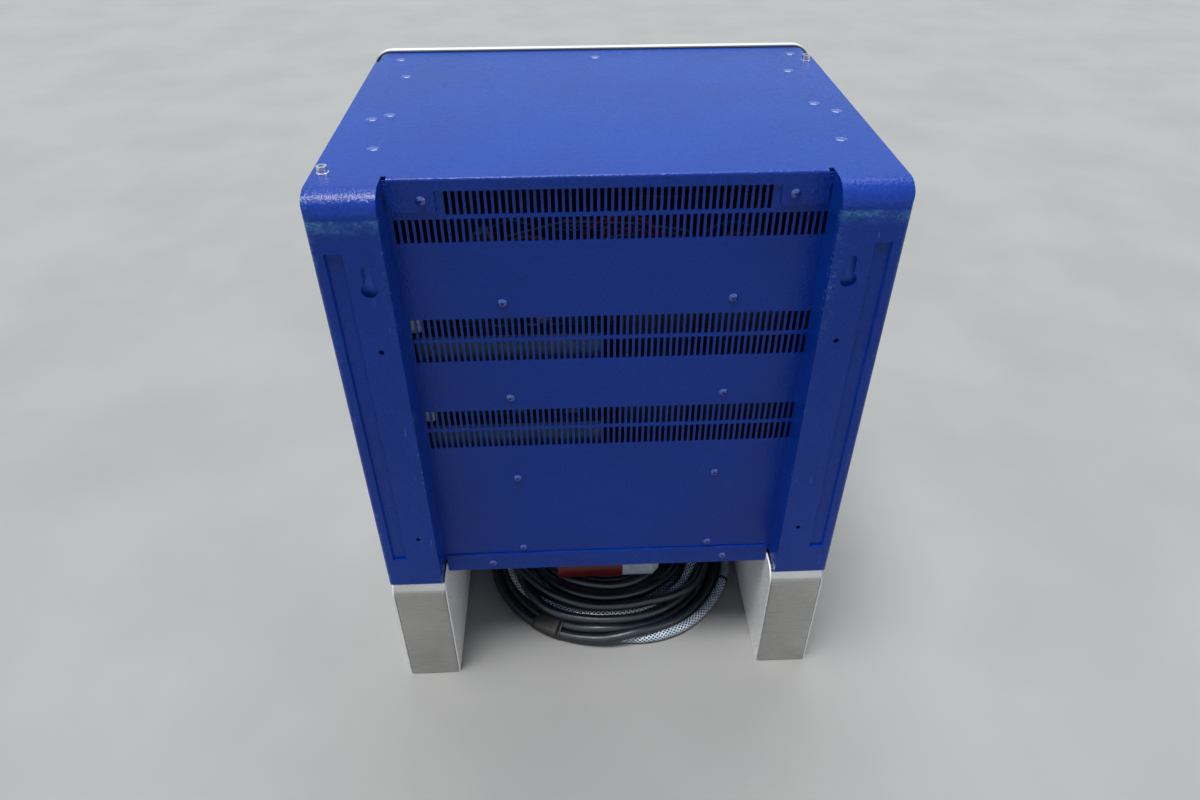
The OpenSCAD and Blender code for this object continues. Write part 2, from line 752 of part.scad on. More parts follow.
module power_board(k) {
    z = bay_z(k) + tray_t + heatsink_h + board_z;
    x0 = left_x0 + 2;
    x1 = left_x1;
    y0 = module_y0 + 15;
    chip_pitch = (x1 - x0 - 57) / 4;
    block_pitch = (x1 - x0 - 61) / 3;
    color([0.08, 0.38, 0.20]) {
        slab([x0, y0, z], [x1, y0 + board_l, z + 1.6]);
        for (x = [x0 + 12, x1 - 14], y = [y0 + 12, y0 + board_l / 2, y0 + board_l - 12]) {
            rod([x, y, z - board_z], "z", 6, board_z + 0.8);
        }
        for (i = [0:4]) {
            x = x0 + 14 + i * chip_pitch;
            slab([x, y0 + 8, z + 1], [x + 22, y0 + 20, z + 13]);
        }
        for (i = [0:3]) {
            x = x0 + 20 + i * block_pitch;
            slab([x, y0 + board_l - 90, z + 1], [x + 26, y0 + board_l - 40, z + 26]);
        }
    }
}

module inductors(k) {
    z = bay_z(k) + tray_t + heatsink_h + board_z + 1.6;
    ring_pitch = (left_x1 - left_x0 - 91) / 2;
    color([0.72, 0.38, 0.12]) for (i = [0:2]) {
        translate([left_x0 + 38 + i * ring_pitch, module_y0 + 62, z]) {
            translate([0, 0, 11]) rotate_extrude($fn = 48) translate([13, 0]) circle(r = 8, $fn = 24);
            cylinder(d = 30, h = 5);
        }
    }
}

module capacitors(k) {
    z = bay_z(k) + tray_t;
    color([0.12, 0.13, 0.17]) for (i = [0:3], j = [0:1]) {
        rod([right_x1 - 52 - i * can_pitch, core_y0 + core_l + 64 + j * can_pitch, z], "z", can_d, can_h);
    }
}

module transformer_core(k) {
    z = bay_z(k) + tray_t;
    y0 = core_y0;
    y1 = core_y0 + core_l;
    color([0.16, 0.16, 0.17]) for (x0 = core_x) difference() {
        slab([x0, y0, z], [x0 + core_w, y1, z + core_h]);
        for (z0 = [z + 14, z + 46]) {
            slab([x0 - eps, y0 + core_leg, z0], [x0 + core_w + eps, y1 - core_leg, z0 + 16]);
        }
    }
}

module transformer_winding(k) {
    z = bay_z(k) + tray_t + 14 + fit_gap;
    h = 48 - 2 * fit_gap;
    y0 = core_y0 + core_leg + fit_gap;
    y1 = core_y0 + core_l - core_leg - fit_gap;
    color([0.74, 0.45, 0.16]) for (x0 = core_x) difference() {
        slab([x0 - winding_proud, y0, z], [x0 + core_w + winding_proud, y1, z + h]);
        slab([x0 - fit_gap, y0 - eps, z + 16 - 2 * fit_gap],
             [x0 + core_w + fit_gap, y1 + eps, z + h - 16 + 2 * fit_gap]);
    }
}

module fan_frame(k) {
    z = bay_z(k) + tray_t + fan_size / 2;
    y1 = fan_y0 + fan_t;
    color([0.09, 0.09, 0.10]) {
        difference() {
            along_y(fan_y0, y1) difference() {
                round_rect([fan_x - fan_size / 2, z - fan_size / 2],
                           [fan_x + fan_size / 2, z + fan_size / 2], 4);
                translate([fan_x, z]) circle(r = duct_r, $fn = 96);
                for (a = [-1, 1], b = [-1, 1]) {
                    translate([fan_x + a * (fan_size / 2 - 5), z + b * (fan_size / 2 - 5)]) circle(d = 4.3);
                }
            }
        }
        for (a = [45:90:315]) translate([fan_x, 0, z]) rotate([0, a, 0]) {
            slab([hub_r - 2, y1 - 4, -2], [duct_r + 1, y1, 2]);
        }
        rod([fan_x, y1 - 6, z], "y", 2 * hub_r, 6);
        rod([fan_x, fan_y0 + 4, z], "y", pin_d, fan_t - 8);
    }
}

module fan_rotor(k) {
    z = bay_z(k) + tray_t + fan_size / 2;
    hub_len = fan_t - 8;
    color([0.13, 0.13, 0.14]) translate([fan_x, fan_y0 + 1, z]) rotate([-90, 0, 0]) difference() {
        union() {
            cylinder(r = hub_r, h = hub_len);
            intersection() {
                cylinder(r = duct_r - tip_gap, h = hub_len, $fn = 96);
                for (i = [0:blade_count - 1]) rotate([0, 0, i * 360 / blade_count]) {
                    translate([hub_r - 3, 0, hub_len / 2]) rotate([38, 0, 0]) {
                        translate([0, -1, -13]) cube([duct_r, 2, 26]);
                    }
                }
            }
        }
        translate([0, 0, 2]) cylinder(d = pin_d + 2 * pin_gap, h = hub_len);
    }
}

// Upper and lower bays

module top_shelf() {
    z = bay_z(0);
    half = module_half - fit_gap;
    color([0.55, 0.57, 0.58]) {
        slab([-half, module_y0, z], [half, module_y0 + module_d, z + tray_t]);
        both_sides() slab([half - tray_t, module_y0, z], [half, module_y0 + module_d, z + 16]);
    }
}

module mains_contactor() {
    z = bay_z(0) + tray_t;
    y0 = module_y0 + 120;
    x_first = -module_half + 33;
    color([0.22, 0.23, 0.25]) for (x0 = [x_first, x_first + contactor_w + 8]) difference() {
        union() {
            slab([x0, y0, z], [x0 + contactor_w, y0 + contactor_l, z + contactor_h]);
            slab([x0 + 6, y0 + 16, z + contactor_h - eps],
                 [x0 + contactor_w - 6, y0 + contactor_l - 16, z + contactor_h + 24]);
        }
        for (i = [0:3], y = [y0 - eps, y0 + contactor_l - 8]) {
            slab([x0 + 4 + i * 12, y, z + contactor_h - 20],
                 [x0 + 12 + i * 12, y + 9, z + contactor_h + eps]);
        }
    }
}

module dc_busbars() {
    z = bay_z(0) + tray_t;
    x1 = right_x1 - 18.2;
    x0 = x1 - busbar_l;
    color([0.78, 0.46, 0.24]) for (y0 = [module_y0 + 130, module_y0 + 190]) difference() {
        union() {
            slab([x0, y0, z + 30], [x1, y0 + busbar_w, z + 35]);
            for (x = [x0 + 10, x1 - 30]) slab([x, y0 + 5, z], [x + 20, y0 + busbar_w - 5, z + 31]);
        }
        for (i = [0:2]) rod([x0 + 38 + i * 38, y0 + busbar_w / 2, z + 29], "z", 9, 8);
    }
}

module wiring_loom() {
    color([0.70, 0.10, 0.08]) translate([0, 0, bay_z(0)]) {
        for (i = [0:2]) translate([i * 9, -i * 4, i * 6]) route_tube(loom_red, 7, 8, [0, 0.1, 1]);
        route_tube(loom_white, 6, 8, [0, 0.1, 1]);
        route_tube(loom_orange, 6, 8, [0, 0.1, 1]);
        for (x = [-150, -60, 60]) slab([x, -159, tray_t], [x + 46, -131, 24]);
    }
}

module terminal_block() {
    z = tray_z + sheet;
    y0 = rear_y + 80;
    color([0.70, 0.70, 0.66]) difference() {
        union() {
            slab([-150, y0, z], [-10, y0 + 35, z + 8]);
            for (i = [0:6]) slab([-146 + i * 19, y0 + 2, z + 7], [-129 + i * 19, y0 + 33, z + 44]);
        }
        for (i = [0:6]) rod([-137.5 + i * 19, y0 + 17.5, z + 34], "z", 6, 12);
    }
}

module air_pump() {
    z = tray_z + sheet;
    color([0.16, 0.17, 0.19]) {
        slab([70, -60, z], [180, 30, z + 4]);
        rod([80, -15, z + 38], "x", 68, 90);
        slab([84, -36, z + 3], [164, 6, z + 24]);
        rod([125, -15, z + 60], "z", 22, 30);
        rod([125, -15, z + 84], "z", 12, 18);
    }
}

// Cord exits

gland_thread_d = 25;
gland_flats = 30;
hose_thread_d = 20;

module gland(p, bore) {
    outer = p[2];
    translate([p[0], p[1], 0]) difference() {
        union() {
            translate([0, 0, tray_z - 6]) cylinder(d = gland_flats / cos(30), h = 6, $fn = 6);
            translate([0, 0, tray_z - 22]) cylinder(d = 28, h = 17);
            translate([0, 0, outer]) cylinder(d1 = bore + 5, d2 = 26, h = tray_z - 22 - outer + 0.1);
            translate([0, 0, tray_z - eps]) cylinder(d = gland_thread_d, h = sheet + 12);
            translate([0, 0, tray_z + sheet]) cylinder(d = gland_flats / cos(30), h = 6, $fn = 6);
        }
        translate([0, 0, outer + mouth_depth]) cylinder(d = bore - 2, h = tray_z + 40 - outer);
        translate([0, 0, outer - eps]) cylinder(d = bore + 0.2, h = mouth_depth + eps);
    }
}

module cable_glands() {
    color([0.10, 0.10, 0.11]) {
        gland(dc_lead_1_route[0] - [0, 0, mouth_depth], dc_d);
        gland(dc_lead_2_route[0] - [0, 0, mouth_depth], dc_d);
        gland(mains_lead_route[0] - [0, 0, mouth_depth], mains_d);
    }
}

module hose_fitting() {
    p = hose_lead_route[0];
    color([0.78, 0.66, 0.36]) translate([p[0], p[1], 0]) difference() {
        union() {
            translate([0, 0, p[2]]) cylinder(d = hose_d + 3, h = 20);
            translate([0, 0, p[2] + 20]) cylinder(d = 12, h = tray_z - 8 - p[2] - 20 + 0.1);
            translate([0, 0, tray_z - 8]) cylinder(d = 24 / cos(30), h = 8, $fn = 6);
            translate([0, 0, tray_z - eps]) cylinder(d = hose_thread_d, h = sheet + 10);
            translate([0, 0, tray_z + sheet]) cylinder(d = 24 / cos(30), h = 5, $fn = 6);
        }
        translate([0, 0, p[2] - eps]) cylinder(d = 7, h = tray_z + 40 - p[2]);
    }
}

// Cords

module cable_coil() {
    color([0.07, 0.07, 0.08]) translate([coil_x, coil_y, 0]) rotate_extrude($fn = 96) polygon([
        [coil_in_r, 3], [coil_in_r + 3, 0], [coil_out_r - 4, 0], [coil_out_r, 4],
        [coil_out_r, 17], [coil_out_r - 40, coil_h], [coil_in_r + 3, coil_h], [coil_in_r, coil_h - 3]
    ]);
}

module cable_tape() {
    turn = 238;
    color([0.09, 0.08, 0.08]) translate([coil_x, coil_y, 0]) rotate([0, 0, turn]) {
        slab([coil_out_r + fit_gap, -15, 1], [coil_out_r + 1.6, 15, 15]);
    }
}

module cable_tie() {
    turn = -21;
    color([0.05, 0.05, 0.05]) translate([coil_x, coil_y, 0]) rotate([0, 0, turn]) {
        slab([coil_out_r + fit_gap, -2.4, 1], [coil_out_r + 1.8, 2.4, 16]);
        slab([coil_out_r + fit_gap, -4, 12], [coil_out_r + 5, 4, 17]);
    }
}

// Supply plug

module plug_shroud() {
    color([0.62, 0.05, 0.05]) translate(plug_axis) difference() {
        union() {
            rod([0, 0, 0], "x", 64, plug_len);
            rod([0, 0, 0], "x", 66, 7);
            rod([34, 0, 0], "x", 66, 6);
            slab([6, -8, 28], [60, 8, 33]);
        }
        rod([-eps, 0, 0], "x", 58, 42);
        rod([plug_len - 30, 0, 0], "x", 34, 31);
        for (a = [0:72:288]) rotate([a, 0, 0]) rod([41 - eps, 0, 16], "x", 6.4, 16);
    }
}

module plug_pins() {
    color([0.80, 0.66, 0.32]) translate(plug_axis) for (a = [0:72:288]) {
        rotate([a, 0, 0]) rod([12, 0, 16], "x", a == 0 ? 7.6 : 6, 29);
    }
}

module plug_grip() {
    x0 = plug_len + fit_gap;
    color([0.55, 0.60, 0.64]) translate(plug_axis) difference() {
        union() {
            translate([x0, 0, 0]) rotate([0, 90, 0]) cylinder(d = 62, h = grip_len - 9);
            translate([x0 + grip_len - 9, 0, 0]) rotate([0, 90, 0]) cylinder(d1 = 62, d2 = 46, h = 9);
            translate([x0 + grip_len - 0.1, 0, 0]) rotate([0, 90, 0]) {
                cylinder(d1 = 34, d2 = mains_d + 5, h = grip_boot + 0.1);
            }
            rod([x0 - 24, 0, 0], "x", 33, 25);
        }
        rod([x0 + grip_len + grip_boot - mouth_depth, 0, 0], "x", mains_d + 0.2, mouth_depth + eps);
    }
}

// Battery connector with two power contacts and an air coupling

module battery_connector() {
    w = connector_size[0];
    l = connector_size[1];
    h = connector_size[2];
    color([0.42, 0.44, 0.46]) translate(connector_at) difference() {
        union() {
            slab([-w / 2 + 3, 14, 0], [w / 2 - 3, l - 30, h]);
            slab([-w / 2 + 7, l - 31, 4], [w / 2 - 7, l, h - 4]);
            slab([-w / 2, 24, 8], [w / 2, 60, h - 8]);
            for (x = [-13.5, 13.5]) rod([x, 0, battery_z - connector_at[2]], "y", dc_d + 8, 20);
            rod([0, 0, air_z - connector_at[2]], "y", hose_d + 5, 20);
        }
        for (x = [-13.5, 13.5]) {
            slab([x - 6, l - 26, 10], [x + 6, l + eps, h - 12]);
            rod([x, -eps, battery_z - connector_at[2]], "y", dc_d + 0.2, 15 + eps);
        }
        rod([0, -eps, air_z - connector_at[2]], "y", hose_d + 0.2, 11 + eps);
        rod([0, l - 26, h - 9], "y", 4, 27);
    }
}

housing_cover();
rear_vent_panel();
base_tray();
side_frame(-1);  // side_frame_left
side_frame(1);  // side_frame_right
front_frame();
front_gasket();
front_panel();
display_window();
membrane_keypad();
control_board();
top_cap_screws();
panel_screws();
foot_bolts();
foot_shell(-1);  // foot_shell_left
foot_shell(1);  // foot_shell_right
foot_plates(-1);  // foot_plates_left
foot_plates(1);  // foot_plates_right
for (k = [1:2]) {
    module_tray(k);
    heatsink(k);
    power_board(k);
    inductors(k);
    capacitors(k);
    transformer_core(k);
    transformer_winding(k);
    fan_frame(k);
    fan_rotor(k);
}
top_shelf();
mains_contactor();
dc_busbars();
wiring_loom();
terminal_block();
air_pump();
cable_glands();
hose_fitting();
cable_coil();
cable_tape();
cable_tie();
color([0.07, 0.07, 0.08]) route_tube(dc_lead_1_route, dc_d);  // dc_lead_1
color([0.07, 0.07, 0.08]) route_tube(dc_tail_1_route, dc_d);  // dc_tail_1
color([0.07, 0.07, 0.08]) route_tube(dc_lead_2_route, dc_d);  // dc_lead_2
color([0.07, 0.07, 0.08]) route_tube(dc_tail_2_route, dc_d);  // dc_tail_2
color([0.07, 0.07, 0.08]) route_tube(mains_lead_route, mains_d);  // mains_lead
color([0.07, 0.07, 0.08]) route_tube(mains_tail_route, mains_d);  // mains_tail
color([0.75, 0.82, 0.88]) route_tube(hose_lead_route, hose_d);  // hose_lead
color([0.75, 0.82, 0.88]) route_tube(hose_tail_route, hose_d);  // hose_tail
plug_shroud();
plug_grip();
plug_pins();
battery_connector();
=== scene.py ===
import math
import bpy
import bmesh
import numpy as np
from mathutils import Matrix, Vector


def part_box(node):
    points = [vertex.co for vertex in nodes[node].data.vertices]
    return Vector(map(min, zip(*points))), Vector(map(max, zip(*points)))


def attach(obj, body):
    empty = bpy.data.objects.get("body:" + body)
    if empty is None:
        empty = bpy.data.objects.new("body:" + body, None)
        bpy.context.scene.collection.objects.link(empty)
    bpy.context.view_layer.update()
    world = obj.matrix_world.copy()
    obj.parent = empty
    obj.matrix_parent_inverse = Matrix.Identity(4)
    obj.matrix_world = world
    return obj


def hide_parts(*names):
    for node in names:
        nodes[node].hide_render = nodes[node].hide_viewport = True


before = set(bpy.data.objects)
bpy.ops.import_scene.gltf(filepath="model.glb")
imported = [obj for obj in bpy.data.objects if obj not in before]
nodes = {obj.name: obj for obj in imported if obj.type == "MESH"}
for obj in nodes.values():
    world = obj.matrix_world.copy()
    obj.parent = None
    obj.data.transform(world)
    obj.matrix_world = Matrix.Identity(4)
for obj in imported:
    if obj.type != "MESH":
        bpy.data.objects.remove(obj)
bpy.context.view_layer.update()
scene = bpy.context.scene
MM = 0.001

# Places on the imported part, in metres

TOP_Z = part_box("housing_cover")[1][2]
REAR_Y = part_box("housing_cover")[0][1]
SIDE_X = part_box("housing_cover")[1][0]
SHELF_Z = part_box("top_shelf")[0][2]
RECESS_X = 0.209
ROLL_R = 0.023

# Camera, at the photograph's viewing angle: place in metres, angles in degrees, lens in millimetres

CAMERA_PLACE = (-0.0379, -0.9220, 1.0095)
CAMERA_YAW, CAMERA_PITCH, CAMERA_ROLL = 2.2259, 37.7297, -0.2413
CAMERA_LENS, CAMERA_SENSOR = 25.04, 36
CAMERA_NEAR, CAMERA_FAR = 0.05, 60


def camera_matrix(place, yaw, pitch, roll):
    y, p, r = (math.radians(a) for a in (yaw, pitch, roll))
    ahead = Vector((math.sin(y) * math.cos(p), math.cos(y) * math.cos(p), -math.sin(p)))
    side = ahead.cross(Vector((0, 0, 1))).normalized()
    up = side.cross(ahead)
    side, up = math.cos(r) * side + math.sin(r) * up, -math.sin(r) * side + math.cos(r) * up
    m = Matrix((side, up, -ahead)).transposed().to_4x4()
    m.translation = place
    return m


def add_camera():
    data = bpy.data.cameras.new("view_camera")
    data.sensor_width = CAMERA_SENSOR
    data.sensor_fit = "HORIZONTAL"
    data.lens = CAMERA_LENS
    data.clip_start = CAMERA_NEAR
    data.clip_end = CAMERA_FAR
    obj = bpy.data.objects.new("view_camera", data)
    obj.matrix_world = camera_matrix(CAMERA_PLACE, CAMERA_YAW, CAMERA_PITCH, CAMERA_ROLL)
    scene.collection.objects.link(obj)
    scene.camera = obj


add_camera()


# Mesh helpers


def add_piece(name, mesh, slot, smooth):
    """An object for a mesh. Every piece that this script adds belongs to the cabinet."""
    mesh.polygons.foreach_set("use_smooth", [smooth] * len(mesh.polygons))
    obj = bpy.data.objects.new(name, mesh)
    scene.collection.objects.link(obj)
    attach(obj, "cabinet")
    return obj


def piece(name, verts, faces, slot, smooth=True, uvs=None):
    me = bpy.data.meshes.new(name)
    me.from_pydata([tuple(v) for v in verts], [], [tuple(f) for f in faces])
    if uvs is not None:
        layer = me.uv_layers.new(name="UVMap")
        layer.data.foreach_set("uv", np.asarray(uvs, np.float32).ravel())
    me.update()
    return add_piece(name, me, slot, smooth)


def distances(path):
    """How far along a path each of its points lies."""
    return np.concatenate([[0], np.cumsum(np.linalg.norm(np.diff(path, axis=0), axis=1))])


def frames_along(path):
    """Two directions square to a path at each of its points, carried along without a twist."""
    any_side = [0.13, 0.21, 0.97]
    t = np.gradient(path, axis=0)
    t /= np.linalg.norm(t, axis=1)[:, None]
    u = np.cross(t[0], any_side)
    u /= np.linalg.norm(u)
    us = [u]
    for i in range(1, len(path)):
        u = us[-1] - np.dot(us[-1], t[i]) * t[i]
        us.append(u / np.linalg.norm(u))
    us = np.array(us)
    return us, np.cross(t, us)


def tube(name, path, radius, sides, slot):
    """A closed tube along path, with u along its length in metres and v around it."""
    path = np.asarray(path, float)
    u, v = frames_along(path)
    n = len(path)
    angle = np.arange(sides) * 2 * math.pi / sides
    ring = np.cos(angle)[None, :, None] * u[:, None, :] + np.sin(angle)[None, :, None] * v[:, None, :]
    verts = (path[:, None, :] + radius * ring).reshape(-1, 3).tolist()
    along = distances(path)
    faces, uvs = [], []
    for i in range(n - 1):
        for k in range(sides):
            a, b = i * sides + k, i * sides + (k + 1) % sides
            faces.append((a, b, b + sides, a + sides))
            low, high = k / sides, (k + 1) / sides
            uvs += [(along[i], low), (along[i], high), (along[i + 1], high), (along[i + 1], low)]
    faces.append(tuple(range(sides))[::-1])
    faces.append(tuple((n - 1) * sides + k for k in range(sides)))
    uvs += [(0, 0)] * sides + [(along[-1], 0)] * sides
    return piece(name, verts, faces, slot, uvs=uvs)


# Cords: routes in millimetres, with leads and tails through the same points as in the part's source

COIL = np.array([5.0, -18.0])
DIAMETER = {"dc_1": 14.0, "dc_2": 14.0, "mains": 13.5, "hose": 13.5}
PLUG = np.array([-68.0, -85.0, 73.3])
PLUG_LENGTH = 164.3
PLUG_EXIT = PLUG + [PLUG_LENGTH, 0, 0]
BATTERY_Z, AIR_Z = 58.3, 80.3

LEADS = {
    "dc_1": [(-70, 144, 127), (-71, 143, 100), (-80, 133, 73), (-97, 112, 50), (-112, 87, 36),
             (-120, 65, 30)],
    "dc_2": [(-54, 109, 127), (-55, 108, 100), (-64, 98, 73), (-80, 78, 50), (-95, 54, 36), (-105, 32, 30)],
    "mains": [(-38, 75, 127), (-37, 75, 100), (-27, 79, 73), (-5, 84, 50), (22, 84, 36), (46, 78, 30)],
    "hose": [(20, 141, 127), (19, 141, 100), (7, 139, 73), (-14, 131, 50), (-37, 119, 36), (-55, 107, 30)],
}
TAILS = {
    "dc_1": [(127, -117, 30), (150, -80, 32.5), (158, -46, 41), (153, -18, 50), (146, 4, 56.5),
             (141.5, 22, BATTERY_Z), (141.5, 40, BATTERY_Z)],
    "dc_2": [(90, -100, 30), (111, -74, 33), (120, -46, 42), (119, -18, 51.5), (116, 4, 57),
             (114.5, 22, BATTERY_Z), (114.5, 40, BATTERY_Z)],
    "mains": [(184, -30, 22), (179, -48, 32.5), (167, -65, 46), (149, -77, 59.5), (128, -83.5, 69.5),
              (108, -85, 73.3), tuple(PLUG_EXIT)],
    "hose": [(119, -106, 22), (132, -79, 31), (139, -56, 43), (137, -36, 56.5), (132, -16, 69.5),
             (128.5, 4, 78), (128, 22, AIR_Z), (128, 36, AIR_Z)],
}
# Turns about the coil's centre: angle in degrees, radius and height of the centreline
TURNS = {
    "dc_1": [(200, 138, 12), (270, 132, 7), (340, 132, 7), (420, 142, 7), (500, 162, 8), (560, 174, 7),
             (598, 173, 7), (622, 171, 11), (641, 171, 18), (668, 173, 11), (700, 173, 7), (770, 166, 10),
             (850, 160, 24), (900, 156, 28), (925, 146, 31), (945, 137, 31), (965, 132, 31), (990, 131, 31),
             (1015, 137, 31)],
    "dc_2": [(200, 143, 20), (240, 151, 19), (270, 150, 19), (340, 150, 19), (420, 152, 16), (500, 156, 8),
             (560, 160, 7), (585, 159, 8), (612, 157, 15), (626, 156, 19), (650, 157, 14), (690, 158, 7),
             (760, 150, 12), (850, 124, 26), (920, 117, 31), (990, 114, 31), (1015, 115, 31)],
    "mains": [(20, 104, 12), (-60, 104, 7), (-200, 100, 9), (-300, 92, 18), (-400, 84, 29), (-450, 82, 31),
              (-560, 84, 31), (-690, 93, 31), (-750, 94, 34), (-775, 98, 38), (-800, 99, 38.5),
              (-825, 97, 38), (-850, 100, 35), (-880, 104, 31), (-960, 130, 35), (-1010, 154, 34),
              (-1050, 170, 28)],
    "hose": [(180, 124, 12), (250, 118, 7), (330, 118, 7), (420, 124, 7), (520, 142, 7), (580, 146, 7),
             (605, 151, 7), (630, 164, 7), (650, 177, 7), (675, 186, 7), (705, 188.5, 7), (735, 185, 8),
             (800, 172, 14), (870, 155, 14), (920, 149, 15), (945, 147, 17.5), (965, 143.5, 18.5),
             (990, 138.5, 18.5), (1015, 139, 18.5)],
}
# Steps along the turns in degrees and along a route in millimetres, and points left out beside each join
TURN_STEP = 4
ROUTE_STEP, FINE_STEP, JOIN_STEP = 8, 4, 24
JOIN_POINTS = 3


def smooth_keys(keys, step):
    """Points on monotone curves through (angle, radius, height) keys, every step degrees."""
    keys = np.array(keys, float)
    sign = 1 if keys[-1, 0] > keys[0, 0] else -1
    x = keys[:, 0] * sign
    gap = np.diff(x)
    count = max(2, int(round((x[-1] - x[0]) / step)))
    at = np.linspace(x[0], x[-1], count + 1)
    k = np.clip(np.searchsorted(x, at, side="right") - 1, 0, len(gap) - 1)
    s = (at - x[k]) / gap[k]
    columns = []
    for y in (keys[:, 1], keys[:, 2]):
        rise = np.diff(y) / gap
        before, after = rise[:-1], rise[1:]
        slope = np.zeros(len(y))
        slope[1:-1] = np.where(before * after > 0, 2 * before * after / (before + after + 1e-12), 0)
        columns.append((2 * s**3 - 3 * s**2 + 1) * y[k] + (s**3 - 2 * s**2 + s) * gap[k] * slope[k]
                       + (-2 * s**3 + 3 * s**2) * y[k + 1] + (s**3 - s**2) * gap[k] * slope[k + 1])
    radius, height = columns
    angle = np.radians(at * sign)
    return np.stack([COIL[0] + radius * np.cos(angle), COIL[1] + radius * np.sin(angle), height], 1)


def polar(point, near):
    """Angle, radius and height of a point about the coil's centre, with the angle in the turn of near."""
    x, y = point[0] - COIL[0], point[1] - COIL[1]
    angle = math.degrees(math.atan2(y, x))
    return (angle + 360 * round((near - angle) / 360), math.hypot(x, y), point[2])


def spline(points, step):
    """A uniform Catmull-Rom curve through points, about step apart."""
    p = np.array(points, float)
    p = np.vstack([2 * p[0] - p[1], p, 2 * p[-1] - p[-2]])
    out = []
    for i in range(1, len(p) - 2):
        before, start, end, after = p[i - 1:i + 3]
        count = max(2, int(round(np.linalg.norm(end - start) / step)))
        for s in np.arange(count) / count:
            out.append(0.5 * (2 * start + (end - before) * s
                              + (2 * before - 5 * start + 4 * end - after) * s**2
                              + (3 * start - before - 3 * end + after) * s**3))
    out.append(p[-2])
    return np.array(out)


def evenly(path, step):
    """The same path with its points step apart."""
    along = distances(path)
    at = np.linspace(0, along[-1], int(round(along[-1] / step)) + 1)
    return np.stack([np.interp(at, along, path[:, k]) for k in range(3)], 1)


def rough_route(name):
    """Lead, turns and tail as one path, with the joins between them rounded."""
    lead, turns, tail = LEADS[name], TURNS[name], TAILS[name]
    keys = [polar(lead[-1], turns[0][0])] + turns + [polar(tail[0], turns[-1][0])]
    mid = smooth_keys(keys, TURN_STEP)
    start = spline(lead + [tuple(mid[JOIN_POINTS])], ROUTE_STEP)[:-JOIN_POINTS]
    end = spline([tuple(mid[-JOIN_POINTS - 1])] + tail, ROUTE_STEP)[JOIN_POINTS:]
    whole = np.vstack([start, mid[JOIN_POINTS + 1:-JOIN_POINTS - 1], end])
    return evenly(spline(evenly(whole, JOIN_STEP), ROUTE_STEP), ROUTE_STEP)


# How the turns settle: the gap between cords and half the room between the feet, in millimetres
SETTLE_ROUNDS = 260
CORD_GAP, HALF_ROOM_X = 0.2, 206
# Pairs that may touch: how near in millimetres, how often and in what blocks they are sought, and how many
# points two of one cord are apart
PAIR_REACH, PAIR_ROUNDS, PAIR_BLOCK, PAIR_APART = 26, 12, 200, 8
# The turns that the camera sees, in degrees, keep closer to their route than the others
SEEN_FROM, SEEN_TO = 195, 345
SEEN_PULL, HIDDEN_PULL = 0.10, 0.02
# Points over which a cord's ends come free, and how strongly points are pushed and smoothed
END_FADE, END_HELD = 6, 1.5
PUSH, CROWDING, SMOOTHING_ROUNDS = 1.3, 0.7, 4


def close_pairs(points, cord, index):
    """Pairs of points that may touch: on two cords, or well apart along one."""
    first, second = [], []
    for start in range(0, len(points), PAIR_BLOCK):
        gap = np.linalg.norm(points[start:start + PAIR_BLOCK, None, :] - points[None, :, :], axis=2)
        i, j = np.nonzero(gap < PAIR_REACH)
        i = i + start
        keep = (i < j) & ((cord[i] != cord[j]) | (np.abs(index[i] - index[j]) > PAIR_APART))
        first.append(i[keep])
        second.append(j[keep])
    return np.concatenate(first), np.concatenate(second)


def pushed_apart(points, a, b, reach):
    """How far each point moves to clear the points that it is paired with."""
    between = points[a] - points[b]
    distance = np.linalg.norm(between, axis=1) + 1e-6
    over = np.maximum(0, reach - distance)
    push = between / distance[:, None] * over[:, None] * 0.5
    total = np.zeros_like(points)
    hits = np.zeros(len(points))
    np.add.at(total, a, push)
    np.add.at(total, b, -push)
    np.add.at(hits, a, over > 0)
    np.add.at(hits, b, over > 0)
    return total / np.maximum(1, CROWDING * hits)[:, None]


def settle(rough):
    """Moves the turns apart until no two cords share space, in low humps, and rests them on the floor."""
    names = list(rough)
    counts = [len(rough[n]) for n in names]
    home = np.vstack([rough[n] for n in names])
    cord = np.repeat(np.arange(len(names)), counts)
    index = np.concatenate([np.arange(count) for count in counts])
    from_end = np.repeat(counts, counts) - 1 - index
    ends = (index == 0) | (from_end == 0)
    radius = np.array([DIAMETER[n] / 2 for n in names])[cord]
    free = np.clip(np.minimum(index, from_end) / END_FADE - END_HELD, 0, 1)[:, None]
    angle = np.degrees(np.arctan2(home[:, 1] - COIL[1], home[:, 0] - COIL[0])) % 360
    pull = np.where((angle > SEEN_FROM) & (angle < SEEN_TO), SEEN_PULL, HIDDEN_PULL)[:, None]
    shift = np.zeros_like(home)
    for turn in range(SETTLE_ROUNDS):
        points = home + shift
        if turn % PAIR_ROUNDS == 0:
            a, b = close_pairs(points, cord, index)
            reach = radius[a] + radius[b] + CORD_GAP
        total = pushed_apart(points, a, b, reach)
        shift = (shift + total * PUSH - pull * shift * 0.5) * np.minimum(1, free * 4)
        for _ in range(SMOOTHING_ROUNDS):
            lap = np.zeros_like(shift)
            lap[1:-1] = 0.5 * (shift[:-2] + shift[2:]) - shift[1:-1]
            lap[ends] = 0
            shift = shift + 0.5 * lap * free
        shift[:, 2] += np.maximum(0, radius - (home[:, 2] + shift[:, 2]))
        wide = np.abs(home[:, 0] + shift[:, 0]) - (HALF_ROOM_X - radius)
        shift[:, 0] -= np.sign(home[:, 0]) * np.maximum(0, wide)
    settled = home + shift
    return {n: settled[cord == i] for i, n in enumerate(names)}


routes = settle({n: rough_route(n) for n in LEADS})
fine_routes = {n: spline(routes[n], FINE_STEP) for n in routes}

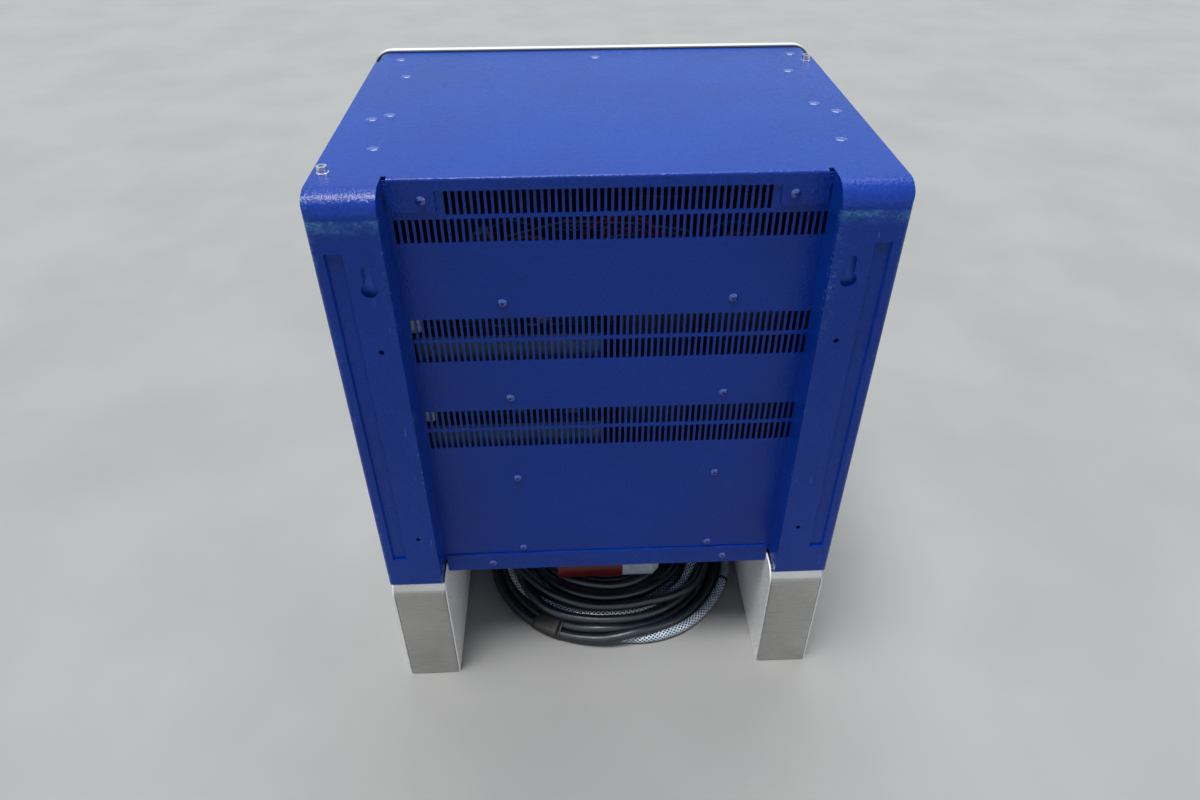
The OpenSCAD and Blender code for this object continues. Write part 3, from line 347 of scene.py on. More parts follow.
# Each cord: its slot and material, the nodes of its two ends, its far end and the nodes that hang on it
CORDS = {
    "dc_1": ("cable_jacket", ("dc_lead_1", "dc_tail_1"), "connector", ("battery_connector",)),
    "dc_2": ("cable_jacket", ("dc_lead_2", "dc_tail_2"), "connector", ("battery_connector",)),
    "mains": ("cable_jacket", ("mains_lead", "mains_tail"), "plug",
              ("plug_shroud", "plug_grip", "plug_pins")),
    "hose": ("braided_hose", ("hose_lead", "hose_tail"), "connector", ("battery_connector",)),
}
CORD_SIDES = 16
cords = {}
for name, (look, ends, far_end, carried) in CORDS.items():
    path = fine_routes[name] * MM
    diameter = DIAMETER[name] * MM
    cords[name] = tube(f"{name}_cord", path, diameter / 2, CORD_SIDES, look)
    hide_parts("cable_coil", *ends)


# Materials


class NodeTree:
    """Short calls for the nodes of a material or the world."""

    def __init__(self, tree):
        self.tree = tree

    def put(self, socket, value):
        """Links a socket to another, or gives it a constant."""
        if isinstance(value, bpy.types.NodeSocket):
            self.tree.links.new(value, socket)
        elif socket.type == "RGBA":
            socket.default_value = (*value, 1)
        else:
            socket.default_value = value

    def node(self, kind, inputs=(), out=0, **settings):
        n = self.tree.nodes.new("ShaderNode" + kind)
        for key, value in settings.items():
            setattr(n, key, value)
        for key, value in dict(inputs).items():
            self.put(n.inputs[key], value)
        return n.outputs[out]

    def place(self, stretch=(1, 1, 1), uv=False):
        at = self.node("TexCoord", out="UV" if uv else "Object")
        return self.node("Mapping", {"Vector": at, "Scale": stretch})

    def parts(self, vector):
        """The three numbers of a vector, a place or a colour."""
        return self.node("SeparateXYZ", {0: vector}).node.outputs[:]

    def noise(self, scale, detail=3.0, rough=0.55, stretch=(1, 1, 1)):
        inputs = {"Vector": self.place(stretch), "Scale": scale, "Detail": detail, "Roughness": rough}
        return self.node("TexNoise", inputs)

    def cells(self, scale, out="Distance", stretch=(1, 1, 1)):
        return self.node("TexVoronoi", {"Vector": self.place(stretch), "Scale": scale}, out=out)

    def calc(self, operation, a, b=0.0, clamp=False):
        return self.node("Math", {0: a, 1: b}, operation=operation, use_clamp=clamp)

    def fit(self, value, low, high, to_low=0.0, to_high=1.0):
        """A smooth step from to_low to to_high, where value goes from low to high."""
        inputs = dict(enumerate((value, low, high, to_low, to_high)))
        return self.node("MapRange", inputs, interpolation_type="SMOOTHSTEP")

    def spots(self, scale, low, high, detail=3.0, rough=0.7, stretch=(1, 1, 1)):
        """Spots of noise: 0 where it is under low, 1 where it is over high."""
        return self.fit(self.noise(scale, detail, rough, stretch), low, high)

    def all_of(self, first, *others):
        """Masks multiplied with each other."""
        for other in others:
            first = self.calc("MULTIPLY", first, other, True)
        return first

    def any_of(self, first, *others):
        """The largest of some masks."""
        for other in others:
            first = self.calc("MAXIMUM", first, other, True)
        return first

    def fade(self, value, edge, offsets):
        """0 to 1 between two offsets from an edge."""
        return self.fit(value, edge + offsets[0], edge + offsets[1])

    def blend(self, factor, a, b):
        return self.node("Mix", {0: factor, 6: a, 7: b}, out=2, data_type="RGBA")


class Surface(NodeTree):
    """A principled material."""

    def __init__(self, name, color, roughness, metallic=0.0, **sockets):
        self.mat = bpy.data.materials.new(name)
        self.mat.use_nodes = True
        super().__init__(self.mat.node_tree)
        self.bsdf = next(n for n in self.tree.nodes if n.type == "BSDF_PRINCIPLED")
        self.put(self.bsdf.inputs["Metallic"], metallic)
        self.color(color).rough(roughness)
        for key, value in sockets.items():
            self.bsdf.inputs[key.replace("_", " ").title().replace("Ior", "IOR")].default_value = value

    def color(self, value):
        self.put(self.bsdf.inputs["Base Color"], value)
        return self

    def rough(self, value):
        self.put(self.bsdf.inputs["Roughness"], value)
        return self

    def bump(self, height, depth, strength):
        """Relief of the given depth in metres."""
        inputs = {"Strength": strength, "Distance": depth, "Height": height}
        self.put(self.bsdf.inputs["Normal"], self.node("Bump", inputs))
        return self


def shade(color, factor, more=0.0):
    """A colour times a factor, and lighter by the same amount in each channel."""
    return tuple(min(1, factor * c + more) for c in color)


BLUE = (0.0012, 0.040, 0.345)
BLUE_DARK = (0.0012, 0.034, 0.300)
SCUFF = (0.09, 0.30, 0.58)

# Bands of wear on the cover, in metres from an edge: where each begins, and where it is full
WEAR_ROUND_REAR = (0.012, 0.004)
RUB_TOP, RUB_FOOT = (0.001, -0.002), (-0.017, -0.005)
EDGE_BAND, EDGE_FOOT, EDGE_TOP = (0.014, 0.001), (-0.18, -0.12), (-0.005, -0.065)
RIM_BAND = (0.004, 0.001)
CORNER_BAND = (-0.009, -0.003)


def wear_mask(s):
    """How far the paint is rubbed on the rear of the cover, where it leaned on a wall."""
    x, y, z = s.parts(s.place())
    side = s.calc("ABSOLUTE", x)
    roll_foot = TOP_Z - ROLL_R
    rub = s.all_of(s.fade(z, roll_foot, RUB_TOP), s.fade(z, roll_foot, RUB_FOOT),
                   s.fit(s.spots(330, 0.46, 0.60, stretch=(1, 1, 1.8)), 0, 1, 0.35, 1.0),
                   s.fit(s.spots(42, 0.36, 0.58), 0, 1, 0.25, 1.0))
    edge = s.all_of(s.fade(side, RECESS_X, EDGE_BAND), s.spots(260, 0.52, 0.64, 4.0, 0.75),
                    s.fade(z, TOP_Z, EDGE_FOOT), s.fade(z, TOP_Z, EDGE_TOP), s.fit(x, 0, 0.1, 0.15, 0.60))
    rim = s.all_of(s.fade(side, RECESS_X, RIM_BAND), s.spots(110, 0.52, 0.66, 4.0),
                   s.spots(9, 0.42, 0.62, 2.0, 0.6), 0.35)
    corner = s.all_of(s.fade(side, SIDE_X, CORNER_BAND), s.spots(190, 0.50, 0.64, 4.0, 0.75),
                      s.spots(14, 0.40, 0.60, 2.0, 0.6), 0.45)
    scratches = s.all_of(s.spots(240, 0.66, 0.70, 2.0, 0.6, (1, 1, 0.10)),
                         s.spots(13, 0.52, 0.62, 1.0, 0.5), 0.5)
    specks = s.all_of(s.spots(420, 0.66, 0.72, 2.0, 0.6), s.spots(24, 0.48, 0.66, 3.0, 0.6), 0.25)
    return s.all_of(s.any_of(rub, edge, rim, corner, scratches, specks), s.fade(y, REAR_Y, WEAR_ROUND_REAR))


def powder_coat(name, worn):
    """Textured blue powder coat with a fine grain, and on the housing with wear."""
    s = Surface(name, BLUE, 0.22, specular_ior_level=0.24)
    grain = s.noise(620, 2.0, 0.6)
    pebble = s.noise(330, 1.5, 0.5)
    paint = s.blend(s.spots(7, 0.3, 0.7, 3.0, 0.6), BLUE_DARK, BLUE)
    paint = s.blend(s.fit(pebble, 0.40, 0.62, 0.0, 0.30), paint, shade(BLUE, 0.55))
    gloss = s.fit(pebble, 0.3, 0.7, 0.15, 0.22)
    if worn:
        wear = wear_mask(s)
        paint = s.blend(s.all_of(wear, 0.62), paint, SCUFF)
        gloss = s.calc("ADD", gloss, s.calc("MULTIPLY", wear, 0.25))
    relief = s.calc("ADD", s.calc("MULTIPLY", grain, 0.35), s.calc("MULTIPLY", pebble, 0.65))
    s.color(paint).rough(gloss).bump(relief, 0.0011, 0.7)
    return s.mat


def brushed(name, color, roughness, scratches=0.5):
    """Brushed metal, with the brush marks along X."""
    s = Surface(name, color, roughness, 1.0)
    lines = s.noise(1400, 2.0, 0.6, (0.012, 1, 1))
    marks = s.spots(160, 0.66, 0.74, stretch=(1, 0.5, 0.12))
    tone = s.blend(s.spots(14, 0.25, 0.75, 4.0, 0.6), shade(color, 0.80), color)
    tone = s.blend(s.all_of(s.fit(lines, 0.3, 0.7), 0.45), tone, shade(color, 1.18))
    tone = s.blend(s.all_of(marks, scratches), tone, shade(color, 0.55))
    gloss = s.fit(lines, 0.2, 0.8, roughness - 0.08, roughness + 0.12)
    s.color(tone).rough(s.calc("ADD", gloss, s.calc("MULTIPLY", marks, 0.2))).bump(lines, 0.00008, 0.5)
    return s.mat


def plain_metal(name, color, roughness, grain):
    s = Surface(name, color, roughness, 1.0)
    fine = s.noise(grain, 3.0, 0.6)
    s.color(s.blend(s.spots(45, 0.35, 0.7, 3.0, 0.6), shade(color, 0.72), color))
    s.rough(s.fit(fine, 0.2, 0.8, roughness - 0.08, roughness + 0.12)).bump(fine, 0.00006, 0.5)
    return s.mat


def moulded(name, color, roughness, grain=500, dirt=0.15, depth=0.00012, **sockets):
    """Moulded plastic or satin paint: a fine grain, faint dirt and uneven gloss."""
    s = Surface(name, color, roughness, **sockets)
    fine = s.noise(grain, 2.0, 0.55)
    soil = s.all_of(s.spots(22, 0.5, 0.72, 4.0, 0.65), dirt)
    marks = s.all_of(s.spots(150, 0.67, 0.72, stretch=(1, 0.3, 0.3)), dirt * 1.6)
    base = s.blend(s.spots(6, 0.3, 0.7, 2.0, 0.5), shade(color, 0.92), color)
    base = s.blend(soil, base, shade(color, 0.45, 0.02))
    base = s.blend(marks, base, shade(color, 0.5, 0.10))
    s.color(base).rough(s.fit(fine, 0.25, 0.75, roughness - 0.06, roughness + 0.10)).bump(fine, depth, 0.5)
    return s.mat


def cable_rubber(name):
    """Black cable jacket with a dusty bloom and fine rub marks."""
    s = Surface(name, (0.008, 0.010, 0.014), 0.40, specular_ior_level=0.6)
    dust = s.spots(34, 0.42, 0.75, 4.0)
    fine = s.noise(420, 3.0, 0.6)
    rubs = s.spots(150, 0.60, 0.72)
    tone = s.blend(s.all_of(dust, 0.5), (0.005, 0.010, 0.018), (0.017, 0.025, 0.037))
    s.color(s.blend(s.all_of(rubs, 0.35), tone, (0.032, 0.044, 0.060)))
    gloss = s.calc("ADD", s.fit(fine, 0.3, 0.7, 0.28, 0.40), s.calc("MULTIPLY", dust, 0.14))
    s.rough(gloss).bump(fine, 0.00012, 0.4)
    return s.mat


YARNS_AROUND, YARN_PITCH = 8.0, 0.0062


def braid(name):
    """A clear hose over a braid of pale yarns that cross over a dark bore."""
    s = Surface(name, (0.6, 0.7, 0.8), 0.16, coat_weight=0.6, coat_roughness=0.08)
    u, v, _ = s.parts(s.place(uv=True))
    turn = s.calc("MULTIPLY", v, YARNS_AROUND)
    run = s.calc("MULTIPLY", u, 1 / YARN_PITCH)
    yarns = []
    for sign in (1, -1):
        phase = s.calc("FRACT", s.calc("ADD", turn, s.calc("MULTIPLY", run, sign)))
        from_middle = s.calc("ABSOLUTE", s.calc("SUBTRACT", s.calc("MULTIPLY", phase, 2.0), 1.0))
        yarns.append(s.fit(s.calc("SUBTRACT", 1.0, from_middle), 0.56, 0.70))
    yarns = s.any_of(*yarns)
    tint = s.blend(s.spots(60, 0.3, 0.7, 2.0, 0.6), (0.52, 0.66, 0.82), (0.82, 0.90, 0.98))
    s.color(s.blend(yarns, (0.004, 0.012, 0.030), tint)).bump(yarns, 0.0003, 0.35)
    return s.mat


def circuit_board(name):
    """A green board with darker parts, pale pads and amber spots; its green is lighter than the board's own,
    painted light for the shade inside the cabinet.
    """
    s = Surface(name, (0.02, 0.12, 0.06), 0.38)
    r, g, _ = s.parts(s.cells(70, "Color", (1, 1, 0.4)))
    base = s.blend(s.fit(r, 0.55, 0.60), (0.020, 0.20, 0.10), (0.010, 0.012, 0.014))
    base = s.blend(s.fit(g, 0.86, 0.88), base, (0.55, 0.50, 0.42))
    base = s.blend(s.fit(s.cells(160), 0.16, 0.10), base, (0.42, 0.32, 0.12))
    s.color(base).rough(s.fit(s.noise(200), 0.3, 0.7, 0.28, 0.5)).bump(s.cells(90), 0.0006, 0.4)
    return s.mat


def coil_winding(name, color):
    """Enamelled wire or strip laid in fine turns."""
    s = Surface(name, color, 0.35, 0.6)
    _, y, z = s.parts(s.place())
    slant = s.calc("ADD", y, s.calc("MULTIPLY", z, 0.5))
    wave = s.calc("SINE", s.calc("MULTIPLY", slant, 2500.0))
    s.color(s.blend(s.fit(wave, -1.0, 1.0), shade(color, 0.45), color))
    s.rough(s.fit(s.noise(150), 0.3, 0.7, 0.28, 0.5)).bump(wave, 0.0003, 0.5)
    return s.mat


def glossy_window(name):
    s = Surface(name, (0.012, 0.016, 0.020), 0.06, coat_weight=0.5, coat_roughness=0.03)
    smear = s.noise(24, 4.0, 0.7)
    s.color(s.blend(s.fit(smear, 0.4, 0.8), (0.010, 0.014, 0.018), (0.020, 0.026, 0.032)))
    s.rough(s.fit(smear, 0.35, 0.75, 0.05, 0.16))
    return s.mat


def lit(name, color, strength):
    s = Surface(name, color, 0.4, emission_color=(*color, 1), emission_strength=strength)
    s.color(s.blend(s.spots(500, 0.3, 0.7, rough=0.55), shade(color, 0.85), color))
    return s.mat


M = {
    "blue_cover": powder_coat("blue_cover", True),
    "blue_sheet": powder_coat("blue_sheet", False),
    # Blue of the plates behind the keyholes, far lighter than the cover's: painted light in the shaded holes
    "blue_backing_painted_light": moulded("blue_backing_painted_light", (0.012, 0.12, 0.75), 0.50, 420, 0.05),
    "foot_steel": brushed("foot_steel", (0.47, 0.465, 0.45), 0.21),
    # Pale paint of the foot plates, their own pale colour set near full white: painted light for the shade
    # under the cabinet
    "light_paint": moulded("light_paint", (0.93, 0.935, 0.93), 0.30, 420, 0.10),
    "black_paint": moulded("black_paint", (0.020, 0.020, 0.023), 0.40, 420, 0.2),
    "front_paint": moulded("front_paint", (0.76, 0.77, 0.77), 0.34, 520, 0.05),
    # Zinc of the inside sheet parts, far darker than bare zinc: painted shade of the cabinet's inside
    "zinc_sheet": plain_metal("zinc_sheet", (0.075, 0.105, 0.125), 0.5, 120),
    "screw_steel": plain_metal("screw_steel", (0.88, 0.88, 0.86), 0.20, 500),
    "black_rubber": moulded("black_rubber", (0.016, 0.016, 0.017), 0.62, 700, 0.3),
    "socket_shade": moulded("socket_shade", (0.004, 0.006, 0.020), 0.6, 420, 0.1),
    "screw_paint": moulded("screw_paint", (0.003, 0.040, 0.33), 0.14, 420, 0.1, coat_weight=1.0,
                           coat_roughness=0.08),
    "tape_black": moulded("tape_black", (0.016, 0.013, 0.013), 0.46, 260, 0.15, 0.0004),
    "dark_window": glossy_window("dark_window"),
    "keypad_foil": moulded("keypad_foil", (0.055, 0.065, 0.085), 0.46, 900, 0.05),
    "green_board": circuit_board("green_board"),
    # Heatsink aluminium, far darker and bluer than bare aluminium: painted shade of the cabinet's inside
    "bare_aluminium": brushed("bare_aluminium", (0.12, 0.15, 0.165), 0.45, 0.2),
    "copper_wire": coil_winding("copper_wire", (0.30, 0.11, 0.035)),
    "ferrite": moulded("ferrite", (0.045, 0.045, 0.048), 0.6, 260, 0.3, 0.0003),
    "capacitor_sleeve": moulded("capacitor_sleeve", (0.018, 0.022, 0.045), 0.3, 300, 0.2),
    "black_plastic": moulded("black_plastic", (0.018, 0.018, 0.020), 0.42, 500, 0.2),
    "grey_plastic": moulded("grey_plastic", (0.16, 0.17, 0.18), 0.46, 500, 0.2),
    # Pale plastic of the module latches, their own pale colour made whiter: painted light for the shade in
    # their bays
    "pale_plastic_painted_light": moulded("pale_plastic_painted_light", (0.93, 0.93, 0.91), 0.42, 500, 0.05),
    "pump_body": moulded("pump_body", (0.030, 0.035, 0.042), 0.5, 200, 0.2, 0.0004),
    "fitting_brass": plain_metal("fitting_brass", (0.74, 0.56, 0.26), 0.28, 300),
    "cable_jacket": cable_rubber("cable_jacket"),
    "braided_hose": braid("braided_hose"),
    "plug_red": moulded("plug_red", (0.13, 0.003, 0.005), 0.34, 600, 0.35),
    "plug_grey": moulded("plug_grey", (0.52, 0.64, 0.74), 0.36, 600, 0.7),
    "wire_red": moulded("wire_red", (0.50, 0.018, 0.016), 0.38, 600, 0.1),
    "wire_salmon": moulded("wire_salmon", (0.78, 0.22, 0.13), 0.38, 600, 0.1),
    "wire_white": moulded("wire_white", (0.90, 0.88, 0.86), 0.38, 600, 0.1),
    "wire_orange": moulded("wire_orange", (0.75, 0.20, 0.02), 0.38, 600, 0.1),
    "wire_blue": moulded("wire_blue", (0.05, 0.20, 0.48), 0.38, 600, 0.1),
    "segment_green": lit("segment_green", (0.35, 0.85, 0.45), 0.7),
    "lamp_green": lit("lamp_green", (0.10, 0.75, 0.20), 0.6),
    "key_symbol": moulded("key_symbol", (0.72, 0.74, 0.76), 0.45, 700, 0.05),
}


def dress(obj, material):
    obj.data.materials.clear()
    obj.data.materials.append(M[material])
    return obj


# Materials of the CAD nodes, by name or by name without its last word or number
FINISH = {
    "housing_cover": "blue_cover", "rear_vent_panel": "blue_sheet", "base_tray": "blue_sheet",
    "panel_screws": "screw_paint", "side_frame": "zinc_sheet", "front_frame": "black_paint",
    "front_gasket": "black_rubber", "front_panel": "front_paint", "display_window": "dark_window",
    "membrane_keypad": "keypad_foil", "control_board": "green_board", "top_cap_screws": "screw_steel",
    "foot_bolts": "screw_steel", "foot_shell": "foot_steel", "foot_plates": "light_paint",
    "module_tray": "zinc_sheet", "heatsink": "bare_aluminium", "power_board": "green_board",
    "inductors": "copper_wire", "capacitors": "capacitor_sleeve", "transformer_core": "ferrite",
    "transformer_winding": "copper_wire", "fan_frame": "black_plastic", "fan_rotor": "black_plastic",
    "top_shelf": "zinc_sheet", "mains_contactor": "black_plastic", "dc_busbars": "copper_wire",
    "wiring_loom": "black_plastic", "terminal_block": "grey_plastic", "air_pump": "pump_body",
    "cable_glands": "black_plastic", "hose_fitting": "fitting_brass", "cable_tape": "black_rubber",
    "cable_tie": "black_plastic", "plug_shroud": "plug_red", "plug_grip": "plug_grey",
    "plug_pins": "fitting_brass", "battery_connector": "grey_plastic",
}
for name, obj in nodes.items():
    key = next((k for k in (name, name.rsplit("_", 1)[0]) if k in FINISH), None)
    if key:
        dress(obj, FINISH[key])
for name, obj in cords.items():
    dress(obj, CORDS[name][0])


# Tape round the two battery cables, and the tie on the hose, in millimetres and degrees

LEAD_Z = 60
TAPE_FROM, TAPE_STEP, TAPE_RINGS = 230.5, 1.2, 14
TAPE_RADII = {"dc_1": 173, "dc_2": 159}
TAPE_INNER_R, TAPE_THICKNESS, TAPE_LOWEST = 7.25, 0.7, 0.9
WRINKLE, WRINKLE_PHASE = 0.15, 2.3
TIE_ANGLE, TIE_RADIUS, TIE_STEP, TIE_RINGS = -21, 188, 1.1, 5
TIE_INNER_R, TIE_THICKNESS, TIE_LOWEST, TIE_HALF_FLAT = 7.0, 1.2, 1.3, 0.4


def station(name, degrees, near):
    """The point and direction of a cord's turns at the given angle, nearest to the given radius."""
    path = fine_routes[name]
    angle = np.degrees(np.arctan2(path[:, 1] - COIL[1], path[:, 0] - COIL[0]))
    off = np.abs((angle - degrees + 180) % 360 - 180)
    radius = np.hypot(path[:, 0] - COIL[0], path[:, 1] - COIL[1])
    i = int(np.argmin(off * 3 + np.abs(radius - near) + 1000 * (path[:, 2] > LEAD_Z)))
    ahead = path[i + 1] - path[i - 1]
    return path[i], ahead / np.linalg.norm(ahead)


def racetrack(a, b, radius, along, count):
    """An outline around two round sections with centres a and b, square to the direction along."""
    mid = (a + b) / 2
    across = (b - a) - np.dot(b - a, along) * along
    half = np.linalg.norm(across) / 2
    across /= 2 * half
    up = np.cross(along, across)
    points = []
    for k in range(count):
        angle = 2 * math.pi * (k + 0.5) / count
        side = half if math.cos(angle) > 0 else -half
        points.append(mid + across * (side + radius * math.cos(angle)) + up * radius * math.sin(angle))
    return np.array(points)


def band_piece(name, rings, thickness, slot, material, node, smooth):
    """A closed band around a set of rings, which takes the place of a node."""
    rings = np.array(list(rings))
    out = rings - rings.mean(axis=1, keepdims=True)
    out /= np.linalg.norm(out, axis=2, keepdims=True)
    outer = rings + out * thickness
    n, m = rings.shape[:2]
    verts = np.vstack([outer.reshape(-1, 3), rings.reshape(-1, 3)]) * MM
    faces = []
    for i in range(n - 1):
        for k in range(m):
            a, b = i * m + k, i * m + (k + 1) % m
            faces.append((a, b, b + m, a + m))
            faces.append((n * m + a, n * m + a + m, n * m + b + m, n * m + b))
    for i, flip in ((0, False), (n - 1, True)):
        for k in range(m):
            a, b = i * m + k, i * m + (k + 1) % m
            face = (a, n * m + a, n * m + b, b)
            faces.append(face[::-1] if flip else face)
    obj = dress(piece(name, verts.tolist(), faces, slot, smooth), material)
    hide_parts(node)


def tape_rings():
    for k in range(TAPE_RINGS):
        degrees = TAPE_FROM + k * TAPE_STEP
        p1, t1 = station("dc_1", degrees, TAPE_RADII["dc_1"])
        p2, _ = station("dc_2", degrees, TAPE_RADII["dc_2"])
        p2 = p2 + t1 * np.dot(p1 - p2, t1)
        ring = racetrack(p1, p2, TAPE_INNER_R + WRINKLE * math.sin(WRINKLE_PHASE * k), t1, 40)
        ring[:, 2] = np.maximum(ring[:, 2], TAPE_LOWEST)
        yield ring


def tie_rings():
    place, ahead = station("hose", TIE_ANGLE, TIE_RADIUS)
    flat = np.array([TIE_HALF_FLAT, 0, 0])
    for k in range(TIE_RINGS):
        ring = racetrack(place - flat, place + flat, TIE_INNER_R, ahead, 28)
        ring = ring + ahead * (k - TIE_RINGS // 2) * TIE_STEP
        ring[:, 2] = np.maximum(ring[:, 2], TIE_LOWEST)
        yield ring


band_piece("tape_wrap", tape_rings(), TAPE_THICKNESS, "black_rubber", "tape_black", "cable_tape", True)
band_piece("hose_tie", tie_rings(), TIE_THICKNESS, "black_plastic", "black_plastic", "cable_tie", False)


# Small marks of the welded studs on the top sheet, in millimetres

STUDS = [(-245, 185), (-228.6, 114), (-244, -33), (-227, -21), (-228, -117), (251, 185), (233, 114),
         (235, -6), (253, -32), (235.6, -114.5), (0.5, 183.6)]
STUD_R, STUD_HEIGHT, STUD_SIDES = 6.0, 0.75, 24
STUD_PROFILE = [(0.0, 0.30), (0.25, 0.22), (0.45, 0.35), (0.62, 1.0), (0.80, 0.75), (1.0, 0.02)]
STUD_GAP = 0.02


def craters(name, sites, radius, height, z):
    """Low ring marks on a flat top, each a shallow dish with a raised rim."""
    sides = STUD_SIDES
    verts, faces = [], []
    for x, y in sites:
        base = len(verts)
        verts.append((x * MM, y * MM, z + STUD_PROFILE[0][1] * height * MM))
        for share, rise in STUD_PROFILE[1:]:
            r = share * radius * MM
            for k in range(sides):
                a = 2 * math.pi * k / sides
                verts.append((x * MM + r * math.cos(a), y * MM + r * math.sin(a), z + rise * height * MM))
        for k in range(sides):
            faces.append((base, base + 1 + k, base + 1 + (k + 1) % sides))
            for ring in range(len(STUD_PROFILE) - 2):
                a = base + 1 + ring * sides
                faces.append((a + k, a + sides + k, a + sides + (k + 1) % sides, a + (k + 1) % sides))
    return piece(name, verts, faces, "blue_paint")


dress(craters("stud_marks", STUDS, STUD_R, STUD_HEIGHT, TOP_Z + STUD_GAP * MM), "screw_paint")


# Plates behind the keyholes and small holes of the columns, in metres. Their blue is far lighter than the
# cover's paint, painted light in the shaded holes.

PLATE_INSET = 0.0014
PLATE_Y0, PLATE_Y1 = REAR_Y + 0.0075, REAR_Y + 0.0087
PLATE_Z0, PLATE_Z1 = 0.200, 0.668


def thin_plate(name, low, high, slot, material):
    """A flat plate of even mesh, so that its edges and faces stay true."""
    xs, zs = np.linspace(low[0], high[0], 3), np.linspace(low[2], high[2], 9)
    verts = [(x, y, z) for y in (low[1], high[1]) for z in zs for x in xs]
    n, m = len(xs), len(zs)
    faces = []
    for side in (0, 1):
        for k in range(m - 1):
            for i in range(n - 1):
                a = side * n * m + k * n + i
                face = (a, a + 1, a + n + 1, a + n)
                faces.append(face if side == 0 else face[::-1])
    rim = [i for i in range(n)] + [k * n + n - 1 for k in range(1, m)]
    rim += [(m - 1) * n + i for i in range(n - 2, -1, -1)] + [k * n for k in range(m - 2, 0, -1)]
    for a, b in zip(rim, rim[1:] + rim[:1]):
        faces.append((b, a, a + n * m, b + n * m))
    return dress(piece(name, verts, faces, slot, smooth=False), material)


for side, tag in ((-1, "left"), (1, "right")):
    x0, x1 = sorted((side * (RECESS_X + PLATE_INSET), side * (SIDE_X - PLATE_INSET)))
    thin_plate(f"column_plate_{tag}", (x0, PLATE_Y0, PLATE_Z0), (x1, PLATE_Y1, PLATE_Z1), "blue_paint",
               "blue_backing_painted_light")


# Dark discs of painted shade at the bottoms of the sockets in the panel screws, in metres

SOCKET_R, SOCKET_BELOW = 0.00135, 0.0006
HEAD_SPACE = 0.012


def painted_shade_discs(name, node, radius, below):
    """A dark disc of painted shade in the socket of every screw of a node, set a little below the head's top.
    """
    world = nodes[node].matrix_world
    points = np.array([tuple(world @ v.co) for v in nodes[node].data.vertices])
    heads = []
    for q in points[np.argsort(points[:, 1])]:
        if all(np.hypot(q[0] - h[0], q[2] - h[2]) > HEAD_SPACE for h in heads):
            near = points[np.hypot(points[:, 0] - q[0], points[:, 2] - q[2]) < HEAD_SPACE]
            mid = (near.min(axis=0) + near.max(axis=0)) / 2
            heads.append((mid[0], near[:, 1].min(), mid[2]))
    verts, faces = [], []
    for x, y, z in heads:
        base = len(verts)
        for a in np.arange(12) * math.pi / 6:
            verts.append((x + radius * math.cos(a), y + below, z + radius * math.sin(a)))
        faces.append(tuple(range(base, base + 12)))
    return dress(piece(name, verts, faces, "blue_paint", smooth=False), "socket_shade")


painted_shade_discs("painted_socket_shade", "panel_screws", SOCKET_R, SOCKET_BELOW)


# Wires between the connector blocks of the top bay: material, start, end, rise and radius in millimetres

WIRES = [
    ("wire_white", -147, -108, 26, 1.6),
    ("wire_white", -143, -112, 31, 1.6),
    ("wire_salmon", -138, -106, 22, 1.6),
    ("wire_white", -134, -116, 36, 1.6),
    ("wire_red", -128, -107, 28, 1.6),
    ("wire_white", -148, -120, 20, 2.0),
    ("wire_salmon", -108, -56, 20, 3.2),
    ("wire_orange", -106, -54, 27, 3.0),
    ("wire_red", -112, -57, 14, 3.2),
    ("wire_red", -34, 64, 42, 3.5),
    ("wire_red", -28, 72, 31, 3.2),
    ("wire_white", -24, 66, 25, 1.6),
    ("wire_white", -20, 70, 36, 1.6),
    ("wire_red", -50, 68, 20, 1.6),
    ("wire_orange", 96, 164, 24, 2.4),
    ("wire_blue", 90, 172, 32, 2.2),
    ("wire_orange", 102, 176, 17, 2.2),
]
WIRE_Y, WIRE_Z = -146, 12
WIRE_SIDES, WIRE_STEP, WIRE_KEYS = 10, 5, 9
DEPTH_MEAN, DEPTH_SWING, SWAY, RIPPLE = 6, 9, 3.5, 2


def wire_path(number, start, end, rise):
    """An arch from start to end over the shelf, which wanders a little, each wire in its own way."""
    depth = DEPTH_MEAN + DEPTH_SWING * math.sin(1.7 * number)
    points = []
    for s in np.linspace(0, 1, WIRE_KEYS):
        arch = math.sin(math.pi * s) ** 0.6
        sway = SWAY * math.sin(5.1 * s + 2.0 * number)
        y = WIRE_Y + depth * arch + sway * s * (1 - s) * 4
        z = WIRE_Z + rise * arch + RIPPLE * math.sin(3 * number + 6 * s)
        points.append((start + (end - start) * s, y, z))
    return spline(points, WIRE_STEP)


for i, (material, start, end, rise, radius) in enumerate(WIRES):
    path = wire_path(i, start, end, rise) * MM + np.array([0, 0, SHELF_Z])
    dress(tube(f"loom_wire_{i + 1}", path, radius * MM, WIRE_SIDES, "loom_sleeve"), material)


# Connector block at the right end of the top bay, and latches at the left end of the module bays, in metres

BLOCK_X, BLOCK_Y, BLOCK_Z = (0.156, 0.184), (-0.157, -0.133), (SHELF_Z + 0.0016, SHELF_Z + 0.024)
BLOCK_EDGE = 0.0015
LATCH_LOW, LATCH_HIGH = (0.006, 0.004, 0.064), (0.016, 0.022, 0.096)
LATCH_EDGE = 0.002


def rounded_block(name, low, high, radius, slot, material):
    bm = bmesh.new()
    bmesh.ops.create_cube(bm, size=1.0)
    low, high = Vector(low), Vector(high)
    for v in bm.verts:
        v.co = Vector(tuple(low[i] + (high[i] - low[i]) * (v.co[i] + 0.5) for i in range(3)))
    bmesh.ops.bevel(bm, geom=bm.edges[:], offset=radius, segments=3, affect="EDGES", profile=0.6)
    me = bpy.data.meshes.new(name)
    bm.to_mesh(me)
    bm.free()
    return dress(add_piece(name, me, slot, True), material)


